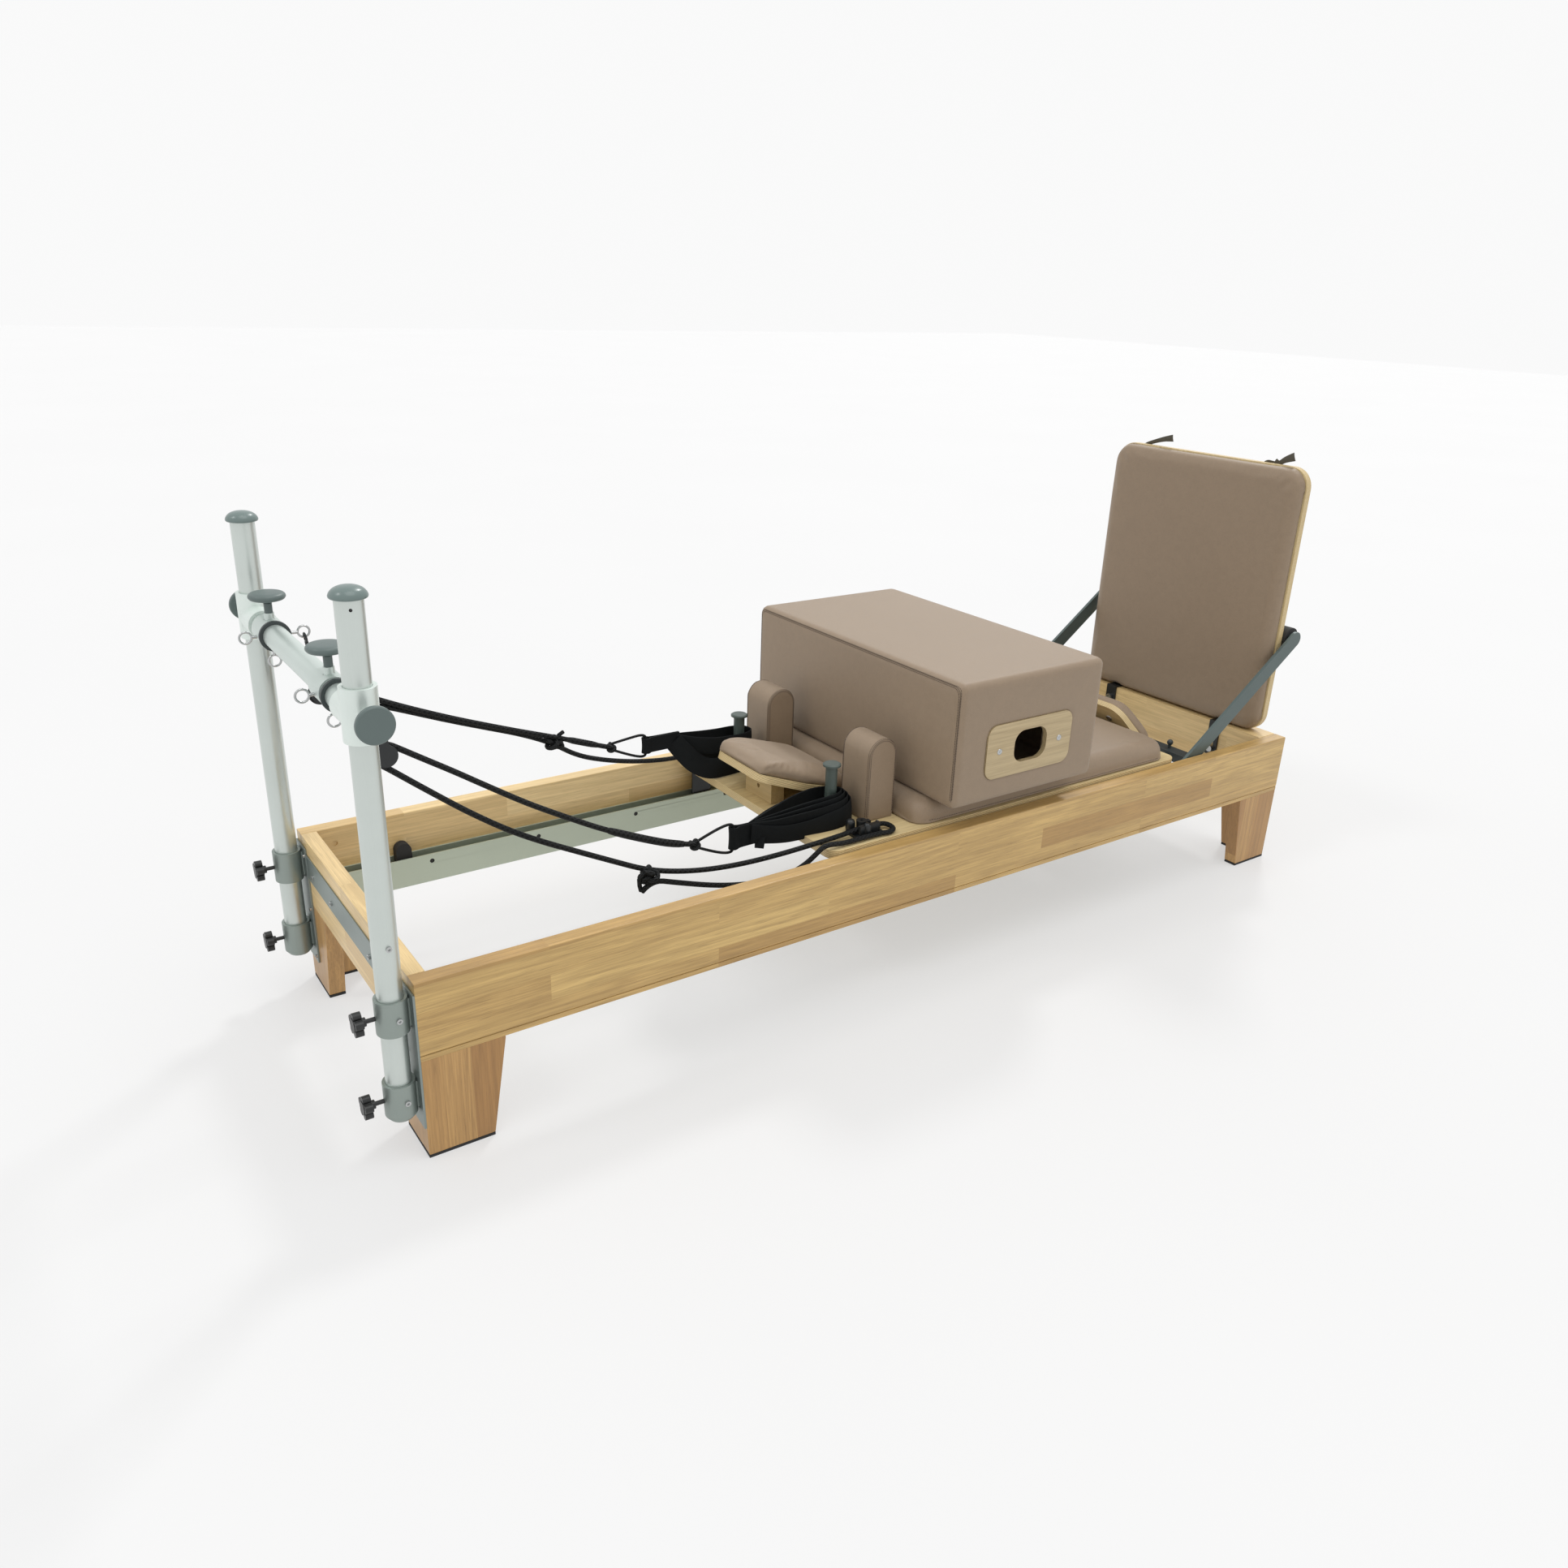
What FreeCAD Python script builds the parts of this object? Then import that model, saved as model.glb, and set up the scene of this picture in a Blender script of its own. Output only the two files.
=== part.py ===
import FreeCAD, Part
import math
import os
import re

import Sketcher
from FreeCAD import Placement, Rotation, Vector

# Pilates reformer with an adjustable rope tower, a sitting box and a padded jump board.
# Lengths are in mm. The bed runs along X: the rope tower is at its head end, at low X, and the
# footbar and jump board are at its foot end. X in the sizes is counted from the outer face of the
# head end board, and origin_x moves the whole model so that its box is centred on the origin.
# Y is 0 on the bed's centre line, negative on the near side. Z is 0 on the floor.

SIZES = {
    "origin_x": 1173.5,
    # wooden bed
    "bed_length": 2400, "bed_half": 362, "board": 34, "foot_board": 67,
    "rail_top": 356, "rail_bottom": 202, "rail_strip": 10, "strip_step": 1.5,
    "leg_side_top": 154, "leg_side_foot": 123, "leg_end_top": 150, "leg_end_foot": 112,
    "leg_board": 34, "sole": 6,
    # aluminium tracks inside the rails
    "track_head": 60, "track_foot": 2326, "track_web": 292, "track_wall": 4,
    "track_bottom": 196, "track_top": 262, "track_hole": 5, "hole_z": 245,
    "bumper_head": 202, "bumper_foot": 1950, "bumper_radius": 17, "bumper_top": 295,
    # rope tower
    "post_x": -32, "post_y": 331, "post_radius": 22, "post_bore": 18, "post_foot": 104, "post_top": 1007,
    "clamp_radius": 28, "clamp_low": 95, "clamp_low_top": 160, "clamp_high": 261, "clamp_high_top": 327,
    "plate_wall": 4, "plate_low": 64, "plate_top": 334, "plate_inner": 296,
    "tie_low": 267, "tie_top": 322, "star_low": 127, "star_high": 293, "star_x": -90,
    "cap_radius": 29, "cap_top": 1026,
    "tee_low": 785, "tee_top": 873, "tee_radius": 29, "tee_inner": 262, "tee_gap": 0.4,
    "crossbar_z": 823, "crossbar_radius": 22, "crossbar_end": 300,
    "disc_z": 831, "disc_radius": 30, "disc_near": 398, "disc_far": 408,
    "collar_near": -171, "collar_far": 210, "collar_length": 60, "collar_radius": 27, "collar_shift": -5,
    "ring_radius": 28.5, "ring_width": 7, "ring_gap": 12,
    "mushroom_low": 885, "mushroom_top": 899, "mushroom_radius": 33,
    "eye_reach": 57, "eye_short": 46, "eye_drop": 54, "eye_sag": 5,
    "eye_radius": 10.8, "eye_wire": 2, "eye_shank": 3,
    "block_drop": 125, "block_tilt": 8.3, "sheave_radius": 19, "sheave_groove": 11, "sheave_half": 6.8,
    "groove_half": 5.8, "cheek_radius": 20,
    # carriage
    "deck_head": 893, "deck_foot": 1990, "deck_half": 325, "deck_top": 364, "ply": 19, "deck_corner": 26,
    "pad_head": 1130, "pad_foot": 1962, "pad_half": 319, "pad_top": 414,
    "batten_low": 316, "batten_width": 40, "batten_half": 262, "batten_head": 1000, "batten_foot": 1530,
    "axle_head": 955, "axle_foot": 1905, "axle_radius": 5, "wheel_radius": 24, "wheel_width": 16,
    "wheel_inner": 304, "hanger_inner": 298, "hanger_half": 26,
    "rest_head": 1048, "rest_foot": 1124, "rest_inner": 146, "rest_outer": 241, "rest_top": 552,
    "peg_x": 990, "peg_y": 185, "peg_top": 497, "peg_radius": 13,
    "cleat_x": 1012, "cleat_y": 284, "cam_y": 266, "cam_x": 1016,
    # headrest, in its own plane from the hinge line
    "hinge_x": 1102, "hinge_z": 372, "headrest_tilt": 17, "headrest_length": 250,
    "headrest_wide": 124, "headrest_narrow": 91, "headrest_taper": 100, "headrest_ply": 16,
    "headrest_pad": 36, "block_x": 925, "block_depth": 35, "block_half": 52,
    # padded stop at the carriage's foot end
    "stop_x": 2000, "stop_z": 347, "stop_lean": 30, "stop_length": 114, "stop_half": 221, "stop_narrow": 152,
    "stop_ply": 16, "stop_pad": 36, "stop_lug": 70,
    # springs and their bar
    "bar_head": 2050, "bar_foot": 2090, "bar_low": 322, "bar_top": 346, "bar_half": 314,
    "spring_pitch": 120, "spring_radius": 12.5, "spring_bore": 9, "spring_z": 330,
    # sitting box
    "box_head": 1171, "box_foot": 1604, "box_half": 378.5, "box_low": 414.2, "box_top": 697,
    "box_wall": 25, "box_corner": 16, "grip_head": 1338, "grip_foot": 1436, "grip_low": 494, "grip_top": 568,
    "grip_plate_head": 1256, "grip_plate_foot": 1513, "grip_plate_low": 468, "grip_plate_top": 592,
    "grip_plate": 12, "grip_corner": 26,
    # footbar
    "pivot_x": 2010, "pivot_z": 315.5, "arm_reach": 506, "arm_tilt": 36.7, "arm_half": 20,
    "arm_inner": 318, "arm_outer": 326, "pivot_radius": 8, "foam_radius": 28, "foam_half": 311,
    "foot_tube": 14,
    # jump board
    "jump_face": 2336, "jump_pad": 29, "jump_ply": 18, "jump_half": 306, "jump_low": 356.5,
    "jump_top": 1060, "jump_corner": 52, "bracket_y": 187, "bracket_half": 17, "bracket_wall": 5,
    "bracket_low": 262, "bracket_up": 470,
    "rope_radius": 5.5, "loop_radius": 3,
}

doc = FreeCAD.newDocument("pilates_reformer")
sheet = doc.addObject("Spreadsheet::Sheet", "Sizes")
for row, (alias, value) in enumerate(SIZES.items(), 1):
    sheet.set("A%d" % row, alias)
    sheet.set("B%d" % row, str(value))
    sheet.setAlias("B%d" % row, alias)
doc.recompute()

NODES = {}
WORD = re.compile(r"[a-z][a-z_]*[a-z]")


def formula(text):
    """Turn words of the size sheet in an expression into references to its cells."""
    return WORD.sub(lambda m: "Sizes." + m.group(0) if m.group(0) in SIZES else m.group(0), str(text))


def bind(obj, **formulas):
    for name, text in formulas.items():
        obj.setExpression(name, formula(text))


def place(obj, x="0", y="0", z="0", turn=None):
    """Put an object at a point of the bed, with an optional rotation."""
    if turn:
        obj.Placement = Placement(Vector(), turn)
    obj.setExpression("Placement.Base.x", formula("(%s) - origin_x" % x))
    obj.setExpression("Placement.Base.y", formula(y))
    obj.setExpression("Placement.Base.z", formula(z))
    return obj


def block(x, y, z):
    """A box from a low and a high expression along each axis."""
    obj = doc.addObject("Part::Box", "Block")
    for side, (low, high) in zip(("Length", "Width", "Height"), (x, y, z)):
        obj.setExpression(side, formula("(%s) - (%s)" % (high, low)))
    return place(obj, x[0], y[0], z[0])


TURNS = {"x": Rotation(Vector(0, 1, 0), 90), "y": Rotation(Vector(1, 0, 0), -90), "z": Rotation()}


def rod(along, radius, span, at, top_radius=None):
    """A cylinder, or a cone, along an axis; `at` gives its other two coordinates in X, Y, Z order."""
    kind = "Part::Cylinder" if top_radius is None else "Part::Cone"
    obj = doc.addObject(kind, "Rod")
    if top_radius is None:
        bind(obj, Radius=radius)
    else:
        bind(obj, Radius1=radius, Radius2=top_radius)
    bind(obj, Height="(%s) - (%s)" % (span[1], span[0]))
    where = list(at)
    where.insert("xyz".index(along), span[0])
    return place(obj, *where, turn=TURNS[along])


def ball(radius, x, y, z):
    obj = doc.addObject("Part::Sphere", "Ball")
    bind(obj, Radius=radius)
    return place(obj, x, y, z)


def ring(radius, wire, x, y, z, turn):
    obj = doc.addObject("Part::Torus", "Ring")
    bind(obj, Radius1=radius, Radius2=wire)
    return place(obj, x, y, z, turn)


def join(*pieces):
    obj = doc.addObject("Part::MultiFuse", "Join")
    obj.Shapes = list(pieces)
    obj.Refine = True
    return obj


def cut(base, *tools):
    obj = doc.addObject("Part::Cut", "Cut")
    obj.Base = base
    obj.Tool = tools[0] if len(tools) == 1 else join(*tools)
    return obj


def group(*pieces):
    obj = doc.addObject("Part::Compound", "Group")
    obj.Links = list(pieces)
    return obj


def mirror(source, normal=Vector(0, 1, 0), x=0):
    obj = doc.addObject("Part::Mirroring", "Mirror")
    obj.Source = source
    obj.Normal = normal
    obj.Base = Vector(x, 0, 0)
    return obj


def both(piece):
    """A piece and its twin on the other side of the bed, as one group."""
    return group(piece, mirror(piece))


def soften(base, radius, pick):
    """Round the edges that `pick` accepts, given each edge's two ends."""
    doc.recompute()
    obj = doc.addObject("Part::Fillet", "Rounded")
    obj.Base = base
    chosen = []
    for number, edge in enumerate(base.Shape.Edges, 1):
        if len(edge.Vertexes) == 2 and pick(edge.Vertexes[0].Point, edge.Vertexes[1].Point):
            chosen.append((number, radius, radius))
    obj.Edges = chosen
    return obj


def along(axis):
    """Accept straight edges that run along one axis."""
    others = [k for k in range(3) if k != "xyz".index(axis)]
    return lambda a, b: all(abs(a[k] - b[k]) < 0.01 for k in others)


def every(a, b):
    return True


def sketch_in(body, plane, points):
    """A closed outline of straight lines through points given as pairs of expressions."""
    sketch = body.newObject("Sketcher::SketchObject", "Outline")
    planes = {item.Role: item for item in body.Origin.OriginFeatures}
    sketch.AttachmentSupport = (planes[plane], [""])
    sketch.MapMode = "FlatFace"
    numbers = [[sheet_value(text) for text in pair] for pair in points]
    count = len(points)
    for i in range(count):
        start, end = numbers[i], numbers[(i + 1) % count]
        sketch.addGeometry(Part.LineSegment(Vector(*start, 0), Vector(*end, 0)))
    for i in range(count):
        sketch.addConstraint(Sketcher.Constraint("Coincident", i, 2, (i + 1) % count, 1))
    for i in range(count):
        for k, kind in enumerate(("DistanceX", "DistanceY")):
            index = sketch.addConstraint(Sketcher.Constraint(kind, -1, 1, i, 1, numbers[i][k]))
            sketch.setExpression("Constraints[%d]" % index, formula(points[i][k]))
    return sketch


def sheet_value(text):
    """The number that an expression of the size sheet stands for, worked out in a spare cell."""
    sheet.set("D1", "=" + formula(text).replace("Sizes.", ""))
    sheet.recompute()
    number = sheet.get("D1")
    sheet.clear("D1")
    return float(getattr(number, "Value", number))


def plate(plane, points, length, name="Plate"):
    """A body padded both ways from the middle of an outline."""
    body = doc.addObject("PartDesign::Body", name)
    pad = body.newObject("PartDesign::Pad", "Pad")
    pad.Profile = sketch_in(body, plane, points)
    pad.setExpression("Length", formula(length))
    pad.Midplane = True
    body.Tip = pad
    return body


def turned(points, name="Turned"):
    """A body turned about Z from an outline of radius and height pairs."""
    body = doc.addObject("PartDesign::Body", name)
    turn = body.newObject("PartDesign::Revolution", "Turn")
    sketch = sketch_in(body, "XZ_Plane", points)
    turn.Profile = sketch
    turn.ReferenceAxis = (sketch, ["V_Axis"])
    turn.Angle = 360
    body.Tip = turn
    return body


def node(name, obj):
    obj.Label = name
    NODES[name] = obj
    return obj


def tube(along_axis, outer, inner, span, at):
    return cut(rod(along_axis, outer, span, at), rod(along_axis, inner, span, at))


def screw_head(along_axis, x, y, z, out, radius="5"):
    """A cap screw's head on a face, standing out by 4 mm towards `out`, with a hexagon-sized recess."""
    where = (x, y, z)
    index = "xyz".index(along_axis)
    low = "(%s) + %s" % (where[index], "0" if out > 0 else "-4")
    high = "(%s) + %s" % (where[index], "4" if out > 0 else "0")
    rest = [v for k, v in enumerate(where) if k != index]
    head = rod(along_axis, radius, (low, high), rest)
    deep = ("(%s) + 1.5" % low, high) if out > 0 else (low, "(%s) - 1.5" % high)
    return cut(head, rod(along_axis, "2.4", deep, rest))


# ---------------------------------------------------------------- wooden bed
def side_rail():
    """Near side rail, with a shallow rebate along its foot where a paler strip is glued on."""
    board = block(("0", "bed_length"), ("-bed_half", "board - bed_half"), ("rail_bottom", "rail_top"))
    groove = block(("-1", "bed_length + 1"), ("-bed_half - 1", "strip_step - bed_half"),
                   ("rail_bottom + rail_strip", "rail_bottom + rail_strip + 2"))
    pocket = rod("y", "6", ("board - bed_half - 3", "board - bed_half + 1"), ("66", "319"))
    return soften(cut(board, groove, pocket), 2.5, rail_edges)


def rail_edges(a, b):
    """Long outer edges along the top of a rail."""
    top = SIZES["rail_top"]
    return abs(a.z - top) < 0.01 and abs(b.z - top) < 0.01 and abs(a.y - b.y) < 0.01


def end_board(x_low, x_high):
    return block((x_low, x_high), ("board - bed_half", "bed_half - board"), ("rail_bottom", "rail_top"))


def leg_side(at_foot):
    """Tapered leg board below a side rail."""
    points = [("0", "sole"), ("leg_side_foot", "sole"), ("leg_side_top", "rail_bottom"), ("0", "rail_bottom")]
    body = plate("XZ_Plane", points, "leg_board")
    if not at_foot:
        return place(body, "0", "leg_board / 2 - bed_half", "0")
    return place(body, "bed_length", "leg_board / 2 - bed_half", "0", Rotation(Vector(0, 0, 1), 180))


def leg_end(at_foot):
    """Tapered leg board below an end board, beside the side leg board."""
    points = [("leg_board", "sole"), ("leg_end_foot", "sole"), ("leg_end_top", "rail_bottom"),
              ("leg_board", "rail_bottom")]
    body = plate("YZ_Plane", points, "leg_board")
    x = "bed_length - leg_board / 2" if at_foot else "leg_board / 2"
    return place(body, x, "-bed_half", "0")


def soles():
    pads = []
    for head in (True, False):
        side = ("0", "leg_side_foot") if head else ("bed_length - leg_side_foot", "bed_length")
        end = ("0", "leg_board") if head else ("bed_length - leg_board", "bed_length")
        flat = block(side, ("-bed_half", "leg_board - bed_half"), ("0", "sole"))
        turn = block(end, ("leg_board - bed_half", "leg_end_foot - bed_half"), ("0", "sole"))
        pads.append(both(join(flat, turn)))
    return group(*pads)


def track():
    """Near track: an aluminium channel screwed inside the rail; the wheels run on its floor."""
    outer = block(("track_head", "track_foot"), ("board - bed_half", "-track_web"),
                  ("track_bottom", "track_top"))
    hollow = block(("track_head - 1", "track_foot + 1"),
                   ("board - bed_half + track_wall", "-track_web - track_wall"),
                   ("track_bottom + track_wall", "track_top + 1"))
    holes = []
    for x in (259, 512, 766, 1022, 1276, 1530, 1786, 2040):
        holes.append(rod("y", "track_hole", ("-track_web - track_wall - 1", "1 - track_web"),
                         (str(x), "hole_z")))
    return cut(outer, hollow, *holes)


def bumper(x):
    """Rubber stop in a channel, rounded at its top."""
    radius = "bumper_radius"
    width = ("board - bed_half + track_wall + 1", "-track_web - track_wall - 6")
    body = block((x + " - " + radius, x + " + " + radius), width,
                 ("track_bottom + track_wall", "bumper_top - " + radius))
    crown = rod("y", radius, width, (x, "bumper_top - " + radius))
    return join(body, crown)


def end_plates():
    """Steel strip across the head end board and the plates that carry the post clamps."""
    strip = block(("-3", "0"), ("-plate_inner", "plate_inner"), ("tie_low", "tie_top"))
    back = block(("-plate_wall", "0"), ("-bed_half", "-plate_inner"), ("plate_low", "plate_top"))
    return group(strip, both(back))


def clamp(low, high, screw_z, closed):
    """Sleeve around a post with a web to its plate; the lower one has a closed, narrowing foot."""
    sleeve = rod("z", "clamp_radius", (low, high), ("post_x", "-post_y"))
    web = block(("post_x + post_radius", "-plate_wall"), ("-post_y - 12", "-post_y + 12"),
                (low + " + 6", high + " - 6"))
    body = join(sleeve, web)
    floor = low
    if closed:
        foot = rod("z", "clamp_radius - 7", (low + " - 9", low), ("post_x", "-post_y"), "clamp_radius")
        body = join(sleeve, web, foot)
        floor = "post_foot - 0.4"
    bore = rod("z", "post_radius + tee_gap", (floor, high + " + 1"), ("post_x", "-post_y"))
    screw_gap = rod("x", "4.3", ("post_x - clamp_radius - 1", "post_x - post_radius + 1"),
                    ("-post_y", screw_z))
    return cut(body, bore, screw_gap)


def post():
    return tube("z", "post_radius", "post_bore", ("post_foot", "post_top"), ("post_x", "-post_y"))


def cap():
    """Turned dome on a post, with a plug down inside the tube."""
    points = [("0", "post_top - 22"), ("post_bore", "post_top - 22"), ("post_bore", "post_top"),
              ("cap_radius", "post_top"), ("cap_radius", "post_top + 5"), ("cap_radius - 6", "post_top + 12"),
              ("cap_radius - 17", "cap_top - 2"), ("0", "cap_top")]
    return place(turned(points), "post_x", "-post_y", "0")


def star_knob(z):
    """Knob with five round lobes on a screw that bears on the post."""
    lobes = []
    for turn in range(5):
        angle = math.radians(90 + 72 * turn)
        at = ("-post_y + %.3f" % (14 * math.cos(angle)), "%s + %.3f" % (z, 14 * math.sin(angle)))
        lobes.append(rod("x", "8", ("star_x - 7", "star_x + 7"), at))
    hub = rod("x", "13", ("star_x - 8", "star_x + 8"), ("-post_y", z))
    neck = rod("x", "8", ("star_x + 8", "star_x + 14"), ("-post_y", z))
    stem = rod("x", "4", ("star_x + 14", "post_x - post_radius - 0.3"), ("-post_y", z))
    return join(hub, neck, stem, *lobes)


def tee():
    """Fitting that slides on a post and holds the end of the crossbar."""
    upright = rod("z", "tee_radius", ("tee_low", "tee_top"), ("post_x", "-post_y"))
    stub = rod("y", "tee_radius - 1.5", ("-post_y", "-tee_inner"), ("post_x", "crossbar_z"))
    boss = rod("y", "11", ("-disc_near + 22", "-post_y"), ("post_x", "disc_z"))
    bore = rod("z", "post_radius + tee_gap", ("tee_low - 1", "tee_top + 1"), ("post_x", "-post_y"))
    seat = rod("y", "crossbar_radius", ("-crossbar_end", "1 - tee_inner"), ("post_x", "crossbar_z"))
    screw_gap = rod("y", "5.3", ("-disc_near - 1", "-post_y"), ("post_x", "disc_z"))
    return cut(join(upright, stub, boss), bore, seat, screw_gap)


def disc_knob():
    """Flat disc on a screw that locks a tee to its post; turned about Z, then laid along Y."""
    tip = "post_y + post_radius + 0.3"
    points = [("0", tip), ("5", tip), ("5", "disc_near - 8"), ("9", "disc_near - 8"), ("9", "disc_near"),
              ("disc_radius - 2", "disc_near"),
              ("disc_radius", "disc_near + 2"), ("disc_radius", "disc_far - 2"),
              ("disc_radius - 2", "disc_far"), ("0", "disc_far")]
    return place(turned(points), "post_x", "0", "disc_z", TURNS["y"])


def collar(y):
    """Sleeve on the crossbar with a screw boss on top."""
    boss_at = ("post_x", y + " + collar_shift")
    at = ("post_x", "crossbar_z")
    sleeve = rod("y", "collar_radius", (y + " - collar_length / 2", y + " + collar_length / 2"), at)
    boss = rod("z", "9", ("crossbar_z", "crossbar_z + 38"), boss_at)
    bore = rod("y", "crossbar_radius", (y + " - collar_length", y + " + collar_length"), at)
    screw_gap = rod("z", "4.3", ("crossbar_z", "crossbar_z + 39"), boss_at)
    return cut(join(sleeve, boss), bore, screw_gap)


def collar_ring(y, gap="0"):
    edge = y + " - collar_length / 2 - " + gap
    span = (edge + " - ring_width", edge)
    return tube("y", "ring_radius", "crossbar_radius", span, ("post_x", "crossbar_z"))


def mushroom_knob(y):
    """Domed knob on a screw that locks a collar to the crossbar."""
    foot = "crossbar_z + crossbar_radius + 0.3"
    points = [("0", foot), ("4", foot), ("4", "crossbar_z + 38.5"), ("8", "crossbar_z + 38.5"),
              ("8", "mushroom_low"),
              ("mushroom_radius - 6", "mushroom_low"), ("mushroom_radius - 1", "mushroom_low + 3"),
              ("mushroom_radius", "mushroom_low + 7"), ("mushroom_radius - 3", "mushroom_top - 3"),
              ("mushroom_radius - 10", "mushroom_top"), ("0", "mushroom_top + 1")]
    return place(turned(points), "post_x", y + " + collar_shift", "0")


def eyebolt(y, side):
    """Ring on a shank that stands out of a collar to the head (-1), to the foot (1) or down (0)."""
    flat = Rotation(Vector(1, 0, 0), 90)
    y = y + " + collar_shift"
    reach = "eye_reach" if side > 0 else "eye_short"
    if side == 0:
        low = "crossbar_z - eye_drop"
        span = (low + " + eye_radius", "crossbar_z - collar_radius + 1")
        shank = rod("z", "eye_shank", span, ("post_x", y))
        return join(shank, ring("eye_radius", "eye_wire", "post_x", y, low, flat))
    near_end = "post_x + %d * (collar_radius - 1)" % side
    far_end = "post_x + %d * (%s - eye_radius)" % (side, reach)
    span = (near_end, far_end) if side > 0 else (far_end, near_end)
    z = "crossbar_z - eye_sag"
    shank = rod("x", "eye_shank", span, (y, z))
    return join(shank, ring("eye_radius", "eye_wire", "post_x + %d * %s" % (side, reach), y, z, flat))


def hang(obj, y):
    """Tilt a pulley piece about the eye that it hangs from; it is made hanging straight down."""
    tilt = Rotation(Vector(0, 1, 0), -SIZES["block_tilt"])
    return place(obj, "post_x + eye_reach", y + " + collar_shift", "crossbar_z - eye_sag", tilt)


def pulley_block(y):
    """Two cheeks, an axle, a bridge above the sheave and a link ring through the eye."""
    low = "-block_drop"
    parts = [rod("y", "4", ("-10.5", "10.5"), ("origin_x", low)),
             block(("origin_x - 9", "origin_x + 9"), ("-10.5", "10.5"), (low + " + 36", low + " + 60")),
             rod("z", "3.5", (low + " + 60", "-20"), ("origin_x", "0")),
             ring("8", "2", "origin_x", "0", "-12", Rotation(Vector(0, 1, 0), 90))]
    for side in (("-10.5", "-7"), ("7", "10.5")):
        parts.append(rod("y", "cheek_radius", side, ("origin_x", low)))
        parts.append(block(("origin_x - 9", "origin_x + 9"), side, (low, low + " + 60")))
    return hang(join(*parts), y)


def sheave(y):
    """Grooved wheel in a pulley block, turned about Z and laid along Y."""
    points = [("4.05", "-sheave_half"), ("sheave_radius", "-sheave_half"), ("sheave_radius", "-groove_half"),
              ("sheave_groove", "-groove_half"), ("sheave_groove", "groove_half"),
              ("sheave_radius", "groove_half"),
              ("sheave_radius", "sheave_half"), ("4.05", "sheave_half")]
    wheel = turned(points)
    wheel.Placement = Placement(Vector(), TURNS["y"])
    wheel.setExpression("Placement.Base.z", "-Sizes.block_drop")
    return hang(group(wheel), y)


# ---------------------------------------------------------------- carriage
def deck():
    board = block(("deck_head", "deck_foot"), ("-deck_half", "deck_half"), ("deck_top - ply", "deck_top"))
    return soften(board, SIZES["deck_corner"], along("z"))


def carriage_pad():
    slab = block(("pad_head", "pad_foot"), ("-pad_half", "pad_half"), ("deck_top", "pad_top"))
    return soften(soften(slab, 34, along("z")), 12, top_rim("pad_top"))


def top_rim(size):
    return lambda a, b: abs(a.z - SIZES[size]) < 0.01 and abs(b.z - SIZES[size]) < 0.01


def battens():
    bars = []
    for start in ("batten_head", "batten_foot"):
        bars.append(block((start, start + " + batten_width"), ("-batten_half", "batten_half"),
                          ("batten_low", "deck_top - ply")))
    return group(*bars)


def hanger(x):
    """Angle bracket below the deck with the stub axle of one near wheel."""
    web = block((x + " - hanger_half", x + " + hanger_half"), ("-hanger_inner - 4", "-hanger_inner"),
                ("wheel_radius + track_bottom - 8", "deck_top - ply"))
    flange = block((x + " - hanger_half", x + " + hanger_half"), ("-hanger_inner - 1", "-hanger_inner + 32"),
                   ("deck_top - ply - 4", "deck_top - ply"))
    at = (x, "track_bottom + track_wall + wheel_radius")
    axle = rod("y", "axle_radius", ("-wheel_inner - wheel_width - 2", "-hanger_inner - 1"), at)
    head = rod("y", "axle_radius + 2", ("-wheel_inner - wheel_width - 3", "-wheel_inner - wheel_width - 1"), at)
    return join(web, flange, axle, head)


def wheel_pair(x):
    """The near and far wheels on one axle line."""
    rim = "wheel_radius - 0.3"
    low, high = "wheel_inner", "wheel_inner + wheel_width"
    points = [("axle_radius + 0.05", low), ("10", low), ("10", low + " + 2"), (rim + " - 4", low + " + 2"),
              (rim + " - 2", low), (rim, low + " + 2"), (rim, high + " - 2"), (rim + " - 2", high),
              (rim + " - 4", high + " - 2"), ("10", high + " - 2"), ("10", high),
              ("axle_radius + 0.05", high)]
    far = turned(points)
    far = place(far, x, "0", "track_bottom + track_wall + wheel_radius", TURNS["y"])
    return group(far, mirror(far))


def shoulder_rest():
    """Padded block with an arched top."""
    half = "(rest_foot - rest_head) / 2"
    body = block(("rest_head", "rest_foot"), ("-rest_outer", "-rest_inner"),
                 ("deck_top", "rest_top - " + half))
    arch = rod("y", half, ("-rest_outer", "-rest_inner"), ("rest_head + " + half, "rest_top - " + half))
    return join(body, arch)


def peg():
    points = [("0", "deck_top"), ("peg_radius + 4", "deck_top"), ("peg_radius + 4", "deck_top + 4"),
              ("peg_radius", "deck_top + 7"), ("peg_radius", "peg_top - 9"),
              ("peg_radius + 7", "peg_top - 6"),
              ("peg_radius + 7", "peg_top - 2"), ("peg_radius + 4", "peg_top"), ("0", "peg_top")]
    return place(turned(points), "peg_x", "-peg_y", "0")


def cleat():
    """Cam cleat's base with its fixed jaw and the cam's pin."""
    foot = block(("cleat_x - 36", "cleat_x + 36"), ("-cleat_y - 19", "-cleat_y + 26"),
                 ("deck_top", "deck_top + 6"))
    jaw = block(("cleat_x - 26", "cleat_x + 30"), ("-cleat_y - 17", "-cleat_y - 6"),
                ("deck_top + 6", "deck_top + 26"))
    pin = rod("z", "3", ("deck_top + 6", "deck_top + 26"), ("cam_x", "-cam_y"))
    return join(soften(foot, 6, along("z")), soften(jaw, 4, along("z")), pin)


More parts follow.
